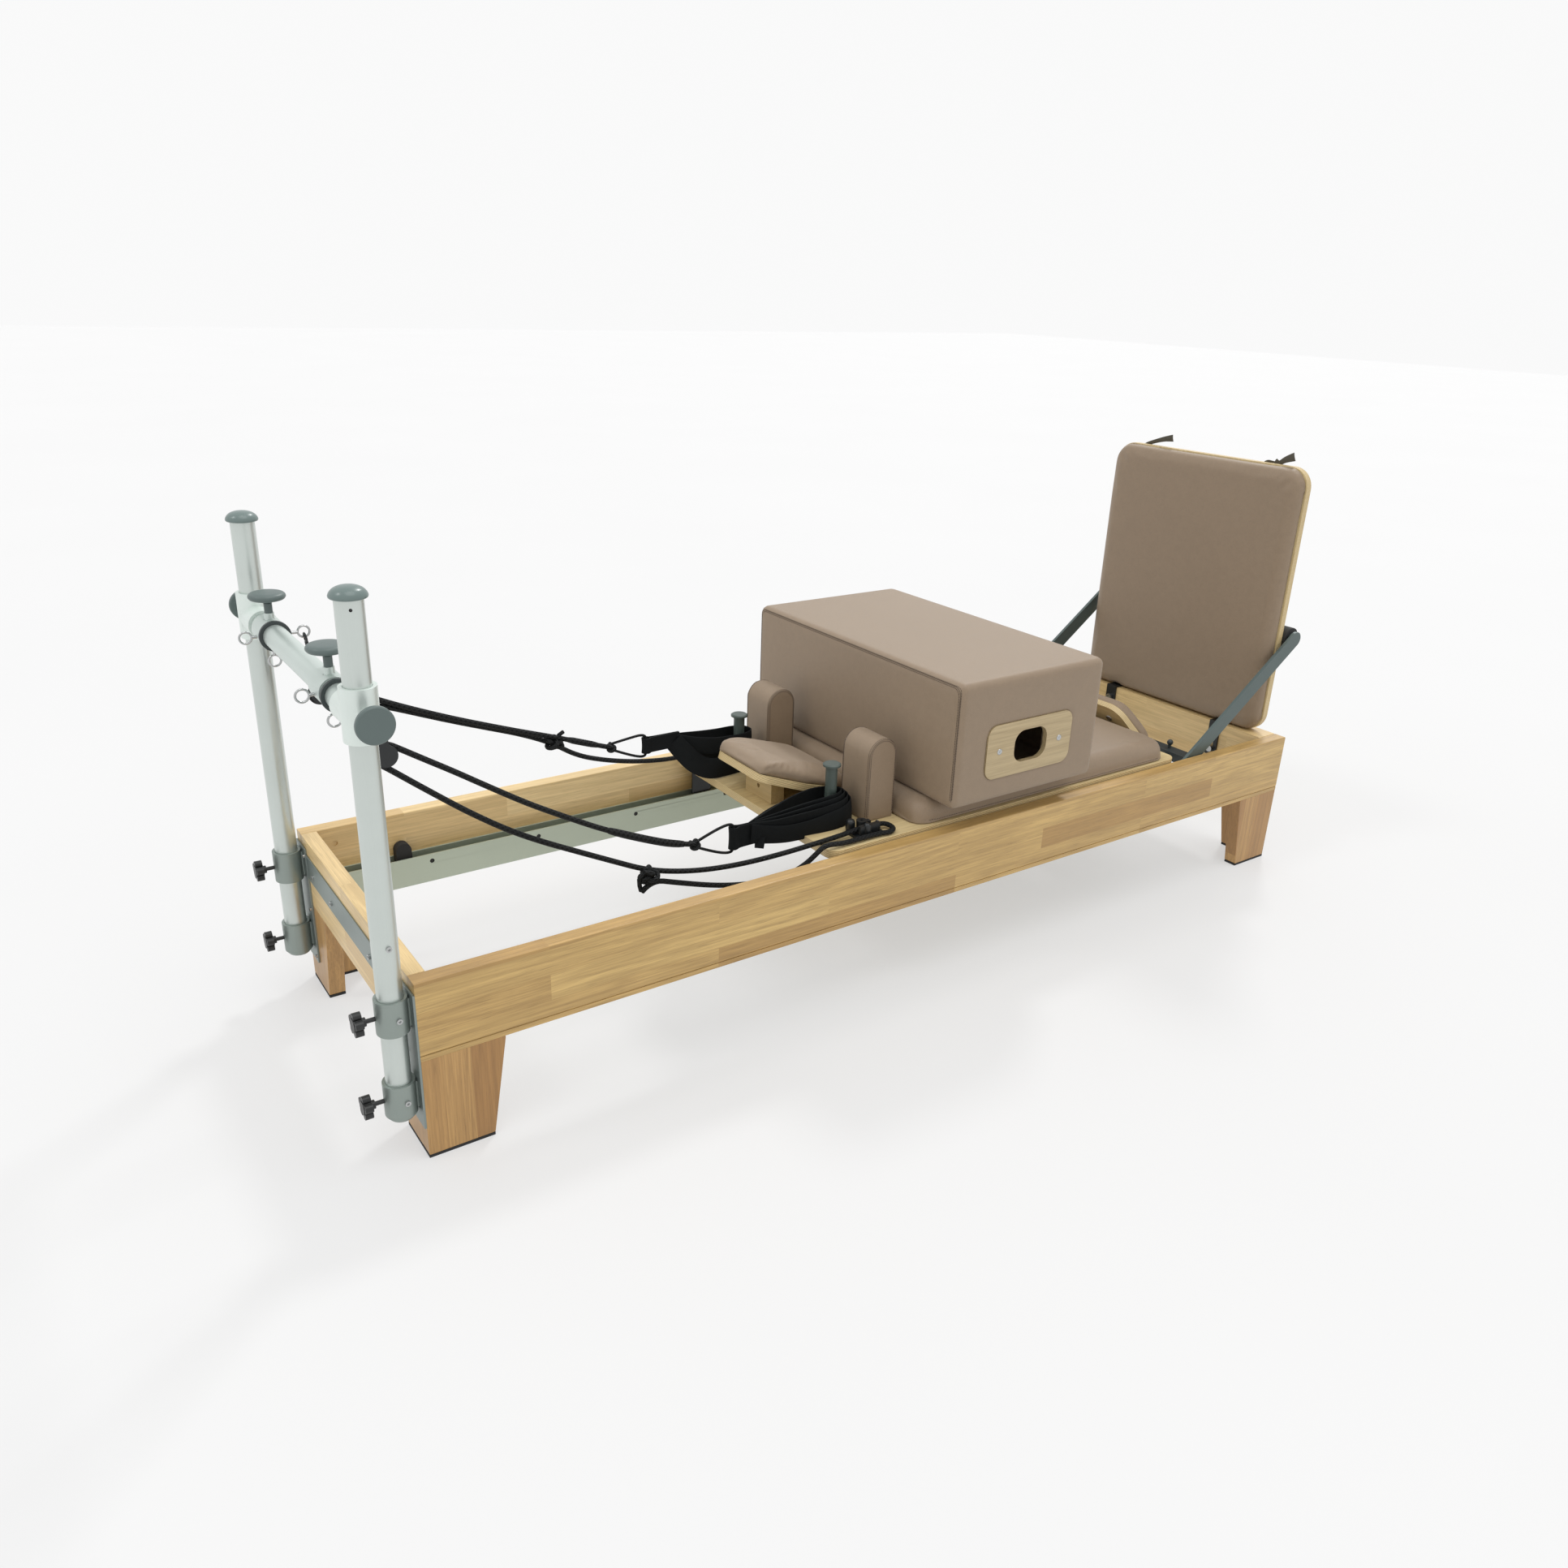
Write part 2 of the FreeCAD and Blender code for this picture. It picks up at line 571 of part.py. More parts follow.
def cleat_cam():
    """Toothed cam that nips the rope against the jaw."""
    drum = rod("z", "12", ("deck_top + 6.3", "deck_top + 24"), ("cam_x", "-cam_y"))
    tail = block(("cam_x - 1", "cam_x + 22"), ("-cam_y - 5", "-cam_y + 7"),
                 ("deck_top + 6.3", "deck_top + 20"))
    bore = rod("z", "3.05", ("deck_top + 6", "deck_top + 25"), ("cam_x", "-cam_y"))
    return cut(join(drum, tail), bore)


def headrest_board():
    """Tapered plywood, made flat with its hinge line on the Y axis, then tilted."""
    taper = "headrest_taper - headrest_length"
    return [("-8", "-headrest_wide"), ("-8", "headrest_wide"), (taper, "headrest_wide - 2"),
            ("-headrest_length", "headrest_narrow"), ("-headrest_length", "-headrest_narrow"),
            (taper, "2 - headrest_wide")]


def tilted(points, low, high):
    """A flat outline padded from `low` to `high` above the headrest's plane and tilted with it."""
    body = plate("XY_Plane", points, "(%s) - (%s)" % (high, low))
    turn = Rotation(Vector(0, 1, 0), SIZES["headrest_tilt"])
    rise = (sheet_value(low) + sheet_value(high)) / 2
    offset = turn.multVec(Vector(0, 0, rise))
    return place(body, "hinge_x + %.4f" % offset.x, "0", "hinge_z + %.4f" % offset.z, turn)


def headrest_cushion():
    inset = "3"
    points = [("-16", inset + " - headrest_wide"), ("-16", "headrest_wide - " + inset),
              ("headrest_taper - headrest_length", "headrest_wide - 2 - " + inset),
              (inset + " - headrest_length", "headrest_narrow - " + inset),
              (inset + " - headrest_length", inset + " - headrest_narrow"),
              ("headrest_taper - headrest_length", "2 - headrest_wide + " + inset)]
    return tilted(points, "headrest_ply", "headrest_ply + headrest_pad")


def headrest_prop():
    """Wooden block under the headrest; its top follows the tilted board."""
    under = "hinge_z + (hinge_x - (%s)) * tan(headrest_tilt * 1 deg) - 0.05"
    back = "block_x + block_depth"
    points = [("block_x", "deck_top + 0.4"), (back, "deck_top + 0.4"), (back, under % back),
              ("block_x", under % "block_x")]
    body = plate("XZ_Plane", points, "2 * block_half")
    keyhole = rod("x", "5", ("block_x - 1", "block_x + 14"), ("0", "hinge_z + 20"))
    return cut(place(body, "0", "0", "0"), keyhole)


def headrest_hinge():
    """Leaf on the deck, outer knuckles and the pin."""
    leaf = block(("hinge_x - 12", "hinge_x + 20"), ("-80", "80"), ("deck_top", "deck_top + 2"))
    parts = [leaf, rod("y", "3", ("-80", "80"), ("hinge_x", "hinge_z"))]
    for low, high in (("-80", "-42"), ("42", "80")):
        parts.append(rod("y", "5.5", (low, high), ("hinge_x", "hinge_z")))
        parts.append(block(("hinge_x - 3", "hinge_x + 3"), (low, high), ("deck_top + 1", "hinge_z")))
    return join(*parts)


def headrest_leaf():
    """Moving knuckle on the pin, with a tongue to the board's underside."""
    knuckle = tube("y", "5.5", "3.05", ("-41.5", "41.5"), ("0 + origin_x", "0"))
    tongue = block(("origin_x - 34", "origin_x - 4.6"), ("-41.5", "41.5"), ("-2.5", "-0.2"))
    body = join(knuckle, tongue)
    return place(body, "hinge_x", "0", "hinge_z", Rotation(Vector(0, 1, 0), SIZES["headrest_tilt"]))


def stop_slab(low, high, inset):
    """A layer of the foot stop, from `low` to `high` off its underside, leaning back over the pad."""
    top = "stop_length - " + inset
    points = [(inset + " - stop_half", inset), ("stop_half - " + inset, inset),
              ("stop_narrow - " + inset, top), (inset + " - stop_narrow", top)]
    body = plate("YZ_Plane", points, "(%s) - (%s)" % (high, low))
    turn = Rotation(Vector(0, 1, 0), -SIZES["stop_lean"])
    offset = turn.multVec(Vector((sheet_value(low) + sheet_value(high)) / 2, 0, 0))
    return place(body, "stop_x + %.4f" % offset.x, "0", "stop_z + %.4f" % offset.z, turn)


def stop_lugs():
    """Wedges on the deck's foot edge that the stop is bolted to."""
    points = [("deck_foot", "stop_z"), ("stop_x", "stop_z"),
              ("stop_x - (deck_top - stop_z) * tan(stop_lean * 1 deg)", "deck_top"), ("deck_foot", "deck_top")]
    lugs = []
    for y in ("-stop_lug", "stop_lug"):
        lugs.append(place(plate("XZ_Plane", points, "36"), "0", y, "0"))
    return group(*lugs)


def spring_bar():
    bar = block(("bar_head", "bar_foot"), ("-bar_half", "bar_half"), ("bar_low", "bar_top"))
    channel = block(("bar_head + 5", "bar_foot - 5"), ("-bar_half - 1", "bar_half + 1"),
                    ("bar_low - 1", "bar_top - 5"))
    ends = []
    for y in (("-bar_half", "-bar_half + 6"), ("bar_half - 6", "bar_half")):
        ends.append(block(("bar_head", "bar_foot"), y, ("266", "bar_top - 2")))
    for y in (("board - bed_half", "-bar_half + 6"), ("bar_half - 6", "bed_half - board")):
        ends.append(block(("bar_head", "bar_foot"), y, ("266", "272")))
    pegs = []
    for step in range(-2, 3):
        y = "%d * spring_pitch" % step
        pegs.append(rod("z", "4", ("bar_top", "bar_top + 12"), ("bar_head + 20", y)))
        pegs.append(ball("8", "bar_head + 20", y, "bar_top + 17"))
    return join(cut(bar, channel), *ends, *pegs)


def springs():
    coils = []
    for step in range(-2, 3):
        y = "%d * spring_pitch" % step
        start = "batten_foot + batten_width"
        coil = tube("x", "spring_radius", "spring_bore", (start + " + 22", "bar_head - 22"), (y, "spring_z"))
        hooks = [rod("x", "2", (start, start + " + 22"), (y + " + 10.5", "spring_z")),
                 rod("x", "2", ("bar_head - 22", "bar_head"), (y + " + 10.5", "spring_z"))]
        coils.append(join(coil, *hooks))
    return group(*coils)


# ---------------------------------------------------------------- sitting box
def sitting_box():
    outer = block(("box_head", "box_foot"), ("-box_half", "box_half"), ("box_low", "box_top"))
    outer = soften(outer, SIZES["box_corner"], every)
    hollow = block(("box_head + box_wall", "box_foot - box_wall"),
                   ("box_wall - box_half", "box_half - box_wall"),
                   ("box_low + box_wall", "box_top - box_wall"))
    holes = []
    for y in (("-box_half - 1", "box_wall - box_half + 1"), ("box_half - box_wall - 1", "box_half + 1")):
        holes.append(block(("grip_head - 8", "grip_foot + 8"), y, ("grip_low - 8", "grip_top + 8")))
    for y in (("-box_half - 1", "grip_plate - box_half - 2"), ("box_half - grip_plate + 2", "box_half + 1")):
        seat = block(("grip_plate_head", "grip_plate_foot"), y, ("grip_plate_low", "grip_plate_top"))
        holes.append(soften(seat, SIZES["grip_corner"], along("y")))
    return cut(outer, hollow, *holes)


def handle_plate():
    board = block(("grip_plate_head", "grip_plate_foot"), ("-box_half - 2", "grip_plate - box_half - 2"),
                  ("grip_plate_low", "grip_plate_top"))
    hole = block(("grip_head", "grip_foot"), ("-box_half - 3", "grip_plate - box_half"),
                 ("grip_low", "grip_top"))
    return cut(soften(board, SIZES["grip_corner"], along("y")), soften(hole, 28, along("y")))


# ---------------------------------------------------------------- footbar and jump board
def from_pivot(obj):
    """Tilt a piece made level with the footbar's pivot on the Y axis."""
    return place(obj, "pivot_x", "0", "pivot_z", Rotation(Vector(0, 1, 0), -SIZES["arm_tilt"]))


def footbar_frame():
    """Two flat arms with round ends, joined by the tube inside the grip."""
    parts = []
    for y in (("-arm_outer", "-arm_inner"), ("arm_inner", "arm_outer")):
        parts.append(block(("origin_x", "origin_x + arm_reach"), y, ("-arm_half", "arm_half")))
        parts.append(rod("y", "arm_half", y, ("origin_x", "0")))
        parts.append(rod("y", "arm_half", y, ("origin_x + arm_reach", "0")))
    parts.append(rod("y", "foot_tube", ("-arm_inner", "arm_inner"), ("origin_x + arm_reach", "0")))
    bore = rod("y", "pivot_radius + 0.05", ("-bed_half", "bed_half"), ("origin_x", "0"))
    return from_pivot(cut(join(*parts), bore))


def footbar_grip():
    return from_pivot(tube("y", "foam_radius", "foot_tube", ("-foam_half", "foam_half"),
                           ("origin_x + arm_reach", "0")))


def footbar_pivot():
    pin = rod("y", "pivot_radius", ("board - bed_half", "-arm_inner + 4"), ("pivot_x", "pivot_z"))
    head = rod("y", "13", ("-arm_inner + 1", "-arm_inner + 8"), ("pivot_x", "pivot_z"))
    return join(pin, head)


def jump_slab(x_low, x_high, inset):
    """Upright board with round corners, notched at its foot over the brackets."""
    slab = block((x_low, x_high), (inset + " - jump_half", "jump_half - " + inset),
                 ("jump_low + " + inset, "jump_top - " + inset))
    notches = []
    for y in ("-bracket_y", "bracket_y"):
        notches.append(block((x_low + " - 1", x_high + " + 1"),
                             (y + " - bracket_half - 1", y + " + bracket_half + 1"),
                             ("jump_low - 1", "rail_top + bracket_wall + 0.2")))
    return cut(soften(slab, SIZES["jump_corner"], along("x")), *notches)


def jump_brackets():
    """Straps that hook over the foot end board's bolts and run up the back of the jump board."""
    y = ("-bracket_y - bracket_half", "-bracket_y + bracket_half")
    face = "bed_length - foot_board - 0.3"
    back = "jump_face + jump_pad + jump_ply"
    top = "rail_top + bracket_wall + 0.2"
    down = block((face + " - bracket_wall", face), y, ("bracket_low", top))
    over = block((face + " - bracket_wall", back + " + bracket_wall"), y, ("rail_top + 0.2", top))
    up = block((back, back + " + bracket_wall"), y, ("rail_top + 0.2", "bracket_up"))
    slot = block((face + " - bracket_wall - 1", face + " + 1"), ("-bracket_y - 5", "-bracket_y + 5"),
                 ("bracket_low - 1", "rail_top - 26"))
    return both(cut(join(down, over, up), slot))


def board_bolts():
    """Bolts in the foot end board that the jump board's brackets hook over."""
    face = "bed_length - foot_board"
    bolts = []
    for z in ("bracket_low + 19", "rail_top - 31"):
        shank = rod("x", "4.5", (face + " - bracket_wall - 2", face), ("-bracket_y", z))
        head = rod("x", "9", (face + " - bracket_wall - 9", face + " - bracket_wall - 1"), ("-bracket_y", z))
        bolts.append(join(shank, head))
    return both(group(*bolts))


def frame_screws():
    """Cap screws of the clamps, plates and tie strip, and the posts' cross screws."""
    near = []
    for z in ("star_low", "star_high"):
        near.append(screw_head("y", "post_x + 4", "-post_y - clamp_radius + 1", z, -1))
    near.append(screw_head("y", "post_x", "-post_y - post_radius + 0.6", "429", -1))
    for z in ("plate_low + 16", "plate_top - 16", "plate_low + 130"):
        near.append(screw_head("x", "-plate_wall", "-plate_inner - 4", z, -1, "4"))
    for y in ("-250", "-120"):
        near.append(screw_head("x", "-3", y, "tie_low + 22", -1))
    return both(group(*near))


# ---------------------------------------------------------------- straps and ropes
def hull_of_circles(big, small):
    """Outline wire around two circles given as (x, y, radius), as two arcs and their outer tangents."""
    bx, by, br = big
    sx, sy, sr = small
    distance = bx - sx
    lean = math.asin((br - sr) / distance)
    up = Vector(-math.sin(lean), math.cos(lean), 0)
    down = Vector(-math.sin(lean), -math.cos(lean), 0)
    centre_b, centre_s = Vector(bx, by, 0), Vector(sx, sy, 0)
    b_up, b_down = centre_b + up * br, centre_b + down * br
    s_up, s_down = centre_s + up * sr, centre_s + down * sr
    right = centre_b + Vector(br, 0, 0)
    left = centre_s - Vector(sr, 0, 0)
    edges = [Part.Arc(b_down, right, b_up).toShape(), Part.LineSegment(b_up, s_up).toShape(),
             Part.Arc(s_up, left, s_down).toShape(), Part.LineSegment(s_down, b_down).toShape()]
    return Part.Wire(edges)


def strap_band(peg_y, radius, nose_x, low, high):
    """A closed band of webbing standing on edge, round a peg and drawn out to a nose."""
    wall = 3
    x = SIZES["peg_x"] - SIZES["origin_x"]
    nose = nose_x - SIZES["origin_x"]
    outer = Part.Face(hull_of_circles((x, peg_y, radius), (nose, peg_y, 7)))
    inner = Part.Face(hull_of_circles((x, peg_y, radius - wall), (nose, peg_y, 7 - wall)))
    return outer.cut(inner).extrude(Vector(0, 0, high - low)).translated(Vector(0, 0, low))


def strap_hem(y, x_low, x_high, low, high):
    """Doubled end of a strap with the tunnel that the rope runs through."""
    x = x_low - SIZES["origin_x"]
    half, bore, mouth = 11, 5.5, 9
    body = Part.makeBox(x_high - x_low, 2 * half, high - low, Vector(x, y - half, low))
    tunnel = Part.makeCylinder(bore, high - low + 2, Vector(x + half, y, low - 1))
    mouths = [Part.makeSphere(mouth, Vector(x + half, y, z)) for z in (low, high)]
    return body.cut(tunnel.fuse(mouths))


def feature(shapes):
    obj = doc.addObject("Part::Feature", "Shape")
    obj.Shape = Part.makeCompound(shapes) if len(shapes) > 1 else shapes[0]
    return obj


def rope_path(points):
    """Straight runs joined by tangent arcs, each as large as the shorter of its two runs allows."""
    dots = [Vector(x - SIZES["origin_x"], y, z) for x, y, z in points]
    edges = []
    radii = []
    start = dots[0]
    for before, corner, after in zip(dots, dots[1:], dots[2:]):
        back, ahead = before - corner, after - corner
        shorter = min(back.Length, ahead.Length)
        back.normalize()
        ahead.normalize()
        turn = math.pi - back.getAngle(ahead)
        reach = 0.45 * shorter
        radius = reach / math.tan(turn / 2)
        first, last = corner + back * reach, corner + ahead * reach
        inward = (back + ahead).normalize()
        middle = corner + inward * (radius / math.cos(turn / 2) - radius)
        edges.append(Part.LineSegment(start, first).toShape())
        edges.append(Part.Arc(first, middle, last).toShape())
        radii.append(radius)
        start = last
    edges.append(Part.LineSegment(start, dots[-1]).toShape())
    return Part.Wire(edges), radii


def rope(name, points, radius):
    wire, radii = rope_path(points)
    first = wire.Edges[0]
    start = first.firstVertex().Point
    heading = first.lastVertex().Point - start
    profile = Part.Wire([Part.Circle(start, heading, radius).toShape()])
    solid = wire.makePipeShell([profile], True, False)
    wanted = math.pi * radius ** 2 * wire.Length
    print("%s: length %.0f mm, volume ratio %.4f, arc radii %s"
          % (name, wire.Length, solid.Volume / wanted, " ".join("%.0f" % value for value in radii)))
    return solid


def knot(x, y, z, radius):
    return Part.makeSphere(radius, Vector(x - SIZES["origin_x"], y, z))


# Each rope is one line in three stretches that meet end to end. The first goes over the sheave, from
# part way along the strand that carries the hand strap to part way along the strand that ends at the
# cleat. The second goes from there to a knot. The third goes through the cleat. A thinner loop joins
# the knot to the hand strap: it runs through the strap's hem and back.
NEAR_OVER_PULLEY = [
    (253, -179, 578), (216, -178, 602.5), (159, -177, 641.5), (104, -176, 677), (74, -176, 697),
    (47.3, -176, 713.9), (32.6, -176, 711.4), (23.7, -176, 699.6), (25.4, -176, 684.8),
    (46.5, -176, 668.5), (88, -178, 634), (135, -182, 596), (180, -188, 561), (210, -192, 540),
]
NEAR_TO_STRAP = [
    (253, -179, 578), (290, -180, 553), (371, -182, 506), (446, -184, 464), (543, -186, 420),
    (600, -187, 398), (643, -185, 387),
]
NEAR_LOOP = [
    (643, -187, 389), (692, -184, 405), (736, -182, 412), (744, -182, 398), (743, -182, 356),
    (737, -182, 342), (696, -180, 354), (648, -178, 378),
]
NEAR_TO_CLEAT = [
    (210, -192, 540), (240, -196, 519), (300, -203, 484), (370, -211, 449), (440, -217, 414),
    (520, -222, 374), (606, -238, 357), (696, -255, 354), (790, -270, 360), (880, -282, 370),
    (950, -285, 375.5), (1000, -284, 379), (1040, -284, 378), (1062, -267, 375), (1092, -273, 372),
    (1096, -305, 371), (1066, -320, 371), (1030, -312, 372), (980, -313, 372), (930, -313, 371.5),
    (885, -311, 378), (863, -307, 358), (841, -302, 339), (806, -292, 320), (753, -276, 311),
    (697, -262, 313), (642, -250, 322), (570, -240, 343), (520, -234, 359), (499, -232, 338),
]
FAR_OVER_PULLEY = [
    (253, 195, 619), (214, 197, 635), (160, 200, 659), (112, 203, 682.5), (83, 205, 696.5),
    (45.1, 205, 714.1), (31.5, 205, 710.5), (23.7, 205, 698.8), (25.6, 205, 684.8), (36.2, 205, 675.6),
    (66, 204.5, 674.5), (104, 202, 668), (150, 199, 650), (178, 197.5, 637.8), (206, 196, 626),
]
FAR_TO_STRAP = [
    (253, 195, 619), (292, 193, 603), (370, 190, 574), (440, 187, 549), (520, 184, 522),
    (590, 182, 496), (641, 182, 478),
]
FAR_LOOP = [
    (641, 185, 482), (690, 183, 489), (730, 182, 493), (738, 182, 479), (737, 182, 450),
    (731, 182, 436), (691, 181, 450), (646, 180, 472),
]
FAR_TO_CLEAT = [
    (206, 196, 626), (240, 194.2, 611.7), (300, 192, 587.5), (370, 189, 561.5), (440, 187, 537),
    (508, 188, 509), (570, 200, 466), (640, 216, 436), (720, 234, 410), (800, 251, 391),
    (880, 266, 380), (950, 278, 378), (1000, 284, 379), (1058, 284, 377),
]

# ---------------------------------------------------------------- the nodes, body by body
rail = side_rail()
node("side_rail_near", rail)
node("side_rail_far", mirror(rail))
node("head_end_board", end_board("0", "31"))
node("foot_end_board", end_board("bed_length - foot_board", "bed_length"))
node("leg_boards", group(*[both(make(at_foot)) for make in (leg_side, leg_end) for at_foot in (False, True)]))
node("foot_pads", soles())
node("tracks", both(track()))
node("track_bumpers", both(group(bumper("bumper_head"), bumper("bumper_foot"))))
node("end_plates", end_plates())
node("post_clamps", both(group(clamp("clamp_low", "clamp_low_top", "star_low", True),
                               clamp("clamp_high", "clamp_high_top", "star_high", False))))
node("riser_posts", both(post()))
node("post_caps", both(cap()))
node("frame_bolts", group(frame_screws(), board_bolts(), both(footbar_pivot())))
node("spring_bar", spring_bar())
node("springs", springs())

for height in ("low", "high"):
    word = {"low": "lower", "high": "upper"}[height]
    knob = star_knob("star_" + height)
    node("star_knob_near_" + word, knob)
    node("star_knob_far_" + word, mirror(knob))

COLLARS = {"near": "collar_near", "far": "collar_far"}
node("tee_fittings", both(tee()))
node("crossbar", tube("y", "crossbar_radius", "post_bore", ("-crossbar_end", "crossbar_end"),
                      ("post_x", "crossbar_z")))
node("pulley_collars", group(*[collar(y) for y in COLLARS.values()]))
node("collar_rings", group(collar_ring(COLLARS["near"], "ring_gap"), collar_ring(COLLARS["far"])))
node("eyebolts", group(*[eyebolt(y, side) for y in COLLARS.values() for side in (-1, 0, 1)]))
node("pulley_blocks", group(*[pulley_block(y) for y in COLLARS.values()]))
for side, y in COLLARS.items():
    node("sheave_" + side, sheave(y))
    node("collar_knob_" + side, mushroom_knob(y))
far_disc = disc_knob()
node("disc_knob_far", far_disc)
node("disc_knob_near", mirror(far_disc))

node("carriage_deck", deck())
node("carriage_pad", carriage_pad())
node("wheel_brackets", group(battens(), both(group(hanger("axle_head"), hanger("axle_foot"))), stop_lugs()))
node("wheelset_head", wheel_pair("axle_head"))
node("wheelset_foot", wheel_pair("axle_foot"))
node("shoulder_rests", both(shoulder_rest()))
node("strap_pegs", both(peg()))
node("rope_cleats", both(cleat()))
near_cam = cleat_cam()
node("cleat_cam_near", near_cam)
node("cleat_cam_far", mirror(near_cam))
node("foot_stop_board", stop_slab("0", "stop_ply", "0"))
node("foot_stop_pad", stop_slab("stop_ply", "stop_ply + stop_pad", "3"))
node("headrest_hinge", headrest_hinge())
node("headrest_leaf", headrest_leaf())
node("headrest_board", tilted(headrest_board(), "0", "headrest_ply"))
node("headrest_pad", headrest_cushion())
node("headrest_block", headrest_prop())

node("box_body", sitting_box())
node("box_handle_plates", both(handle_plate()))
node("footbar_frame", footbar_frame())
node("footbar_grip", footbar_grip())
back_of_pad = "jump_face + jump_pad"
node("jump_board", jump_slab(back_of_pad, back_of_pad + " + jump_ply", "0"))
node("jump_board_pad", jump_slab("jump_face", back_of_pad, "1"))
node("jump_board_brackets", jump_brackets())

PEG = SIZES["peg_y"]
node("hand_strap_near", feature([
    strap_band(-PEG, 44, 792, 367, 415).fuse(strap_hem(-182, 732, 788, 352, 402)).removeSplitter(),
    strap_band(-PEG, 30, 800, 418, 449)]))
node("hand_strap_far", feature([
    strap_band(PEG, 44, 860, 367, 415),
    strap_band(PEG, 28, 826, 419, 459).fuse(strap_hem(182, 726, 822, 447, 483)).removeSplitter()]))

ROPE = SIZES["rope_radius"]
node("rope_near", feature([rope("near rope over its pulley", NEAR_OVER_PULLEY, ROPE),
                           rope("near rope to its strap", NEAR_TO_STRAP, ROPE),
                           rope("near loop", NEAR_LOOP, SIZES["loop_radius"]),
                           rope("near rope to its cleat", NEAR_TO_CLEAT, ROPE)]))
node("rope_far", feature([rope("far rope over its pulley", FAR_OVER_PULLEY, ROPE),
                          rope("far rope to its strap", FAR_TO_STRAP, ROPE),
                          rope("far loop", FAR_LOOP, SIZES["loop_radius"]),
                          rope("far rope to its cleat", FAR_TO_CLEAT, ROPE)]))
node("rope_knots", feature([
    knot(648, -182, 383, 13), knot(516, -227, 366, 17), knot(645, 182, 476, 13), knot(508, 187, 514, 19),
    knot(1062, 284, 377, 10),
    rope("near sleeve", NEAR_TO_STRAP[3:6], ROPE + 3), rope("far sleeve", FAR_TO_STRAP[4:6], ROPE + 3)]))

doc.recompute()
problems = []
for obj in doc.Objects:
    if "Invalid" in obj.State or "Error" in obj.State:
        problems.append("%s (%s) is in state %s" % (obj.Name, obj.Label, obj.State))
for name, obj in NODES.items():
    if obj.Shape.isNull() or not obj.Shape.isValid():
        problems.append("%s has a null or invalid shape" % name)
if problems:
    raise SystemExit("\n".join(problems))

os.makedirs("parts", exist_ok=True)
for name, obj in NODES.items():
    obj.Shape.exportStep("parts/%s.step" % name)
print(len(NODES), "nodes")
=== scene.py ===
from math import copysign, cos, exp, log, pi, radians, sin, sqrt

import bmesh
import bpy
from mathutils import Matrix, Vector
from mathutils.bvhtree import BVHTree
from mathutils.geometry import convex_hull_2d


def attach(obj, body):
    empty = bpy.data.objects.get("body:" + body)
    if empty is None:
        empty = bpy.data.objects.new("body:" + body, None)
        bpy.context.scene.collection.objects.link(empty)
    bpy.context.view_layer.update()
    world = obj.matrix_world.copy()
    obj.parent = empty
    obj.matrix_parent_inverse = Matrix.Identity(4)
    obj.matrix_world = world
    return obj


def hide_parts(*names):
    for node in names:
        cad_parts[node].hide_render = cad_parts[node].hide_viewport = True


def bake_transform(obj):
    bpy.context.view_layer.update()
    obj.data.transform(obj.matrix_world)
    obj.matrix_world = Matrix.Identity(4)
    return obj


# Looks of a pilates reformer: X runs along the bed from the rope tower, Y across it and Z up, in metres.

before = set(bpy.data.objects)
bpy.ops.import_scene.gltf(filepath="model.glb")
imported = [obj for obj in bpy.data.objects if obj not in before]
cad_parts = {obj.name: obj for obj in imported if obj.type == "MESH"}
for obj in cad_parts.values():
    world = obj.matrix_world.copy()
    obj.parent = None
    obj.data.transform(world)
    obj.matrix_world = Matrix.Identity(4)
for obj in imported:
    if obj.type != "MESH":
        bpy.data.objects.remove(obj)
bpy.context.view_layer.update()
scene = bpy.context.scene
HEAD = 1.1735  # from the outer face of the head end board to the frame's origin
UP = Vector((0, 0, 1))
THOUSAND = 1000  # millimetres to a metre

# The headrest's board is tilted, and the foot stop's board leans back; up is out of each board's face.
TILT, LEAN = radians(17), radians(30)
headrest_up = Vector((sin(TILT), 0, cos(TILT)))
stop_up = Vector((cos(LEAN), 0, sin(LEAN)))
stop_along = Vector((-sin(LEAN), 0, cos(LEAN)))


def bed(x, y, z):
    """A place whose X is counted from the outer face of the head end board."""
    return Vector((x - HEAD, y, z))


def bed_mm(place):
    return bed(*(value / THOUSAND for value in place))


def placed(name, data):
    """A new object in the scene."""
    obj = bpy.data.objects.new(name, data)
    scene.collection.objects.link(obj)
    return obj


def modify(obj, name, kind, **settings):
    modifier = obj.modifiers.new(name, kind)
    for key, value in settings.items():
        setattr(modifier, key, value)
    return modifier


# --- camera and light
def add_camera(place, yaw, pitch, roll, lens):
    forward = Vector((cos(pitch) * cos(yaw), cos(pitch) * sin(yaw), -sin(pitch)))
    level = Vector((sin(yaw), -cos(yaw), 0))
    above = level.cross(forward)
    right = cos(roll) * level + sin(roll) * above
    up = cos(roll) * above - sin(roll) * level
    data = bpy.data.cameras.new("camera")
    data.lens = lens
    data.sensor_width = 36
    data.clip_end = 100
    camera = placed("camera", data)
    turn = Matrix((right, up, -forward)).transposed().to_4x4()
    camera.matrix_world = Matrix.Translation(place) @ turn
    scene.camera = camera


add_camera(Vector((-1.69287, -2.13001, 1.45814)), 0.952286, 0.391076, 0.0360437, 28.106)


def sun(name, azimuth, elevation, strength, spread):
    """A soft far light. Azimuth is where it stands, from +X toward +Y. All angles are in degrees."""
    data = bpy.data.lights.new(name, "SUN")
    data.energy = strength
    data.angle = radians(spread)
    lamp = placed(name, data)
    turn, rise = radians(azimuth), radians(elevation)
    toward = Vector((cos(turn) * cos(rise), sin(turn) * cos(rise), sin(rise)))
    lamp.rotation_euler = toward.to_track_quat("Z", "Y").to_euler()


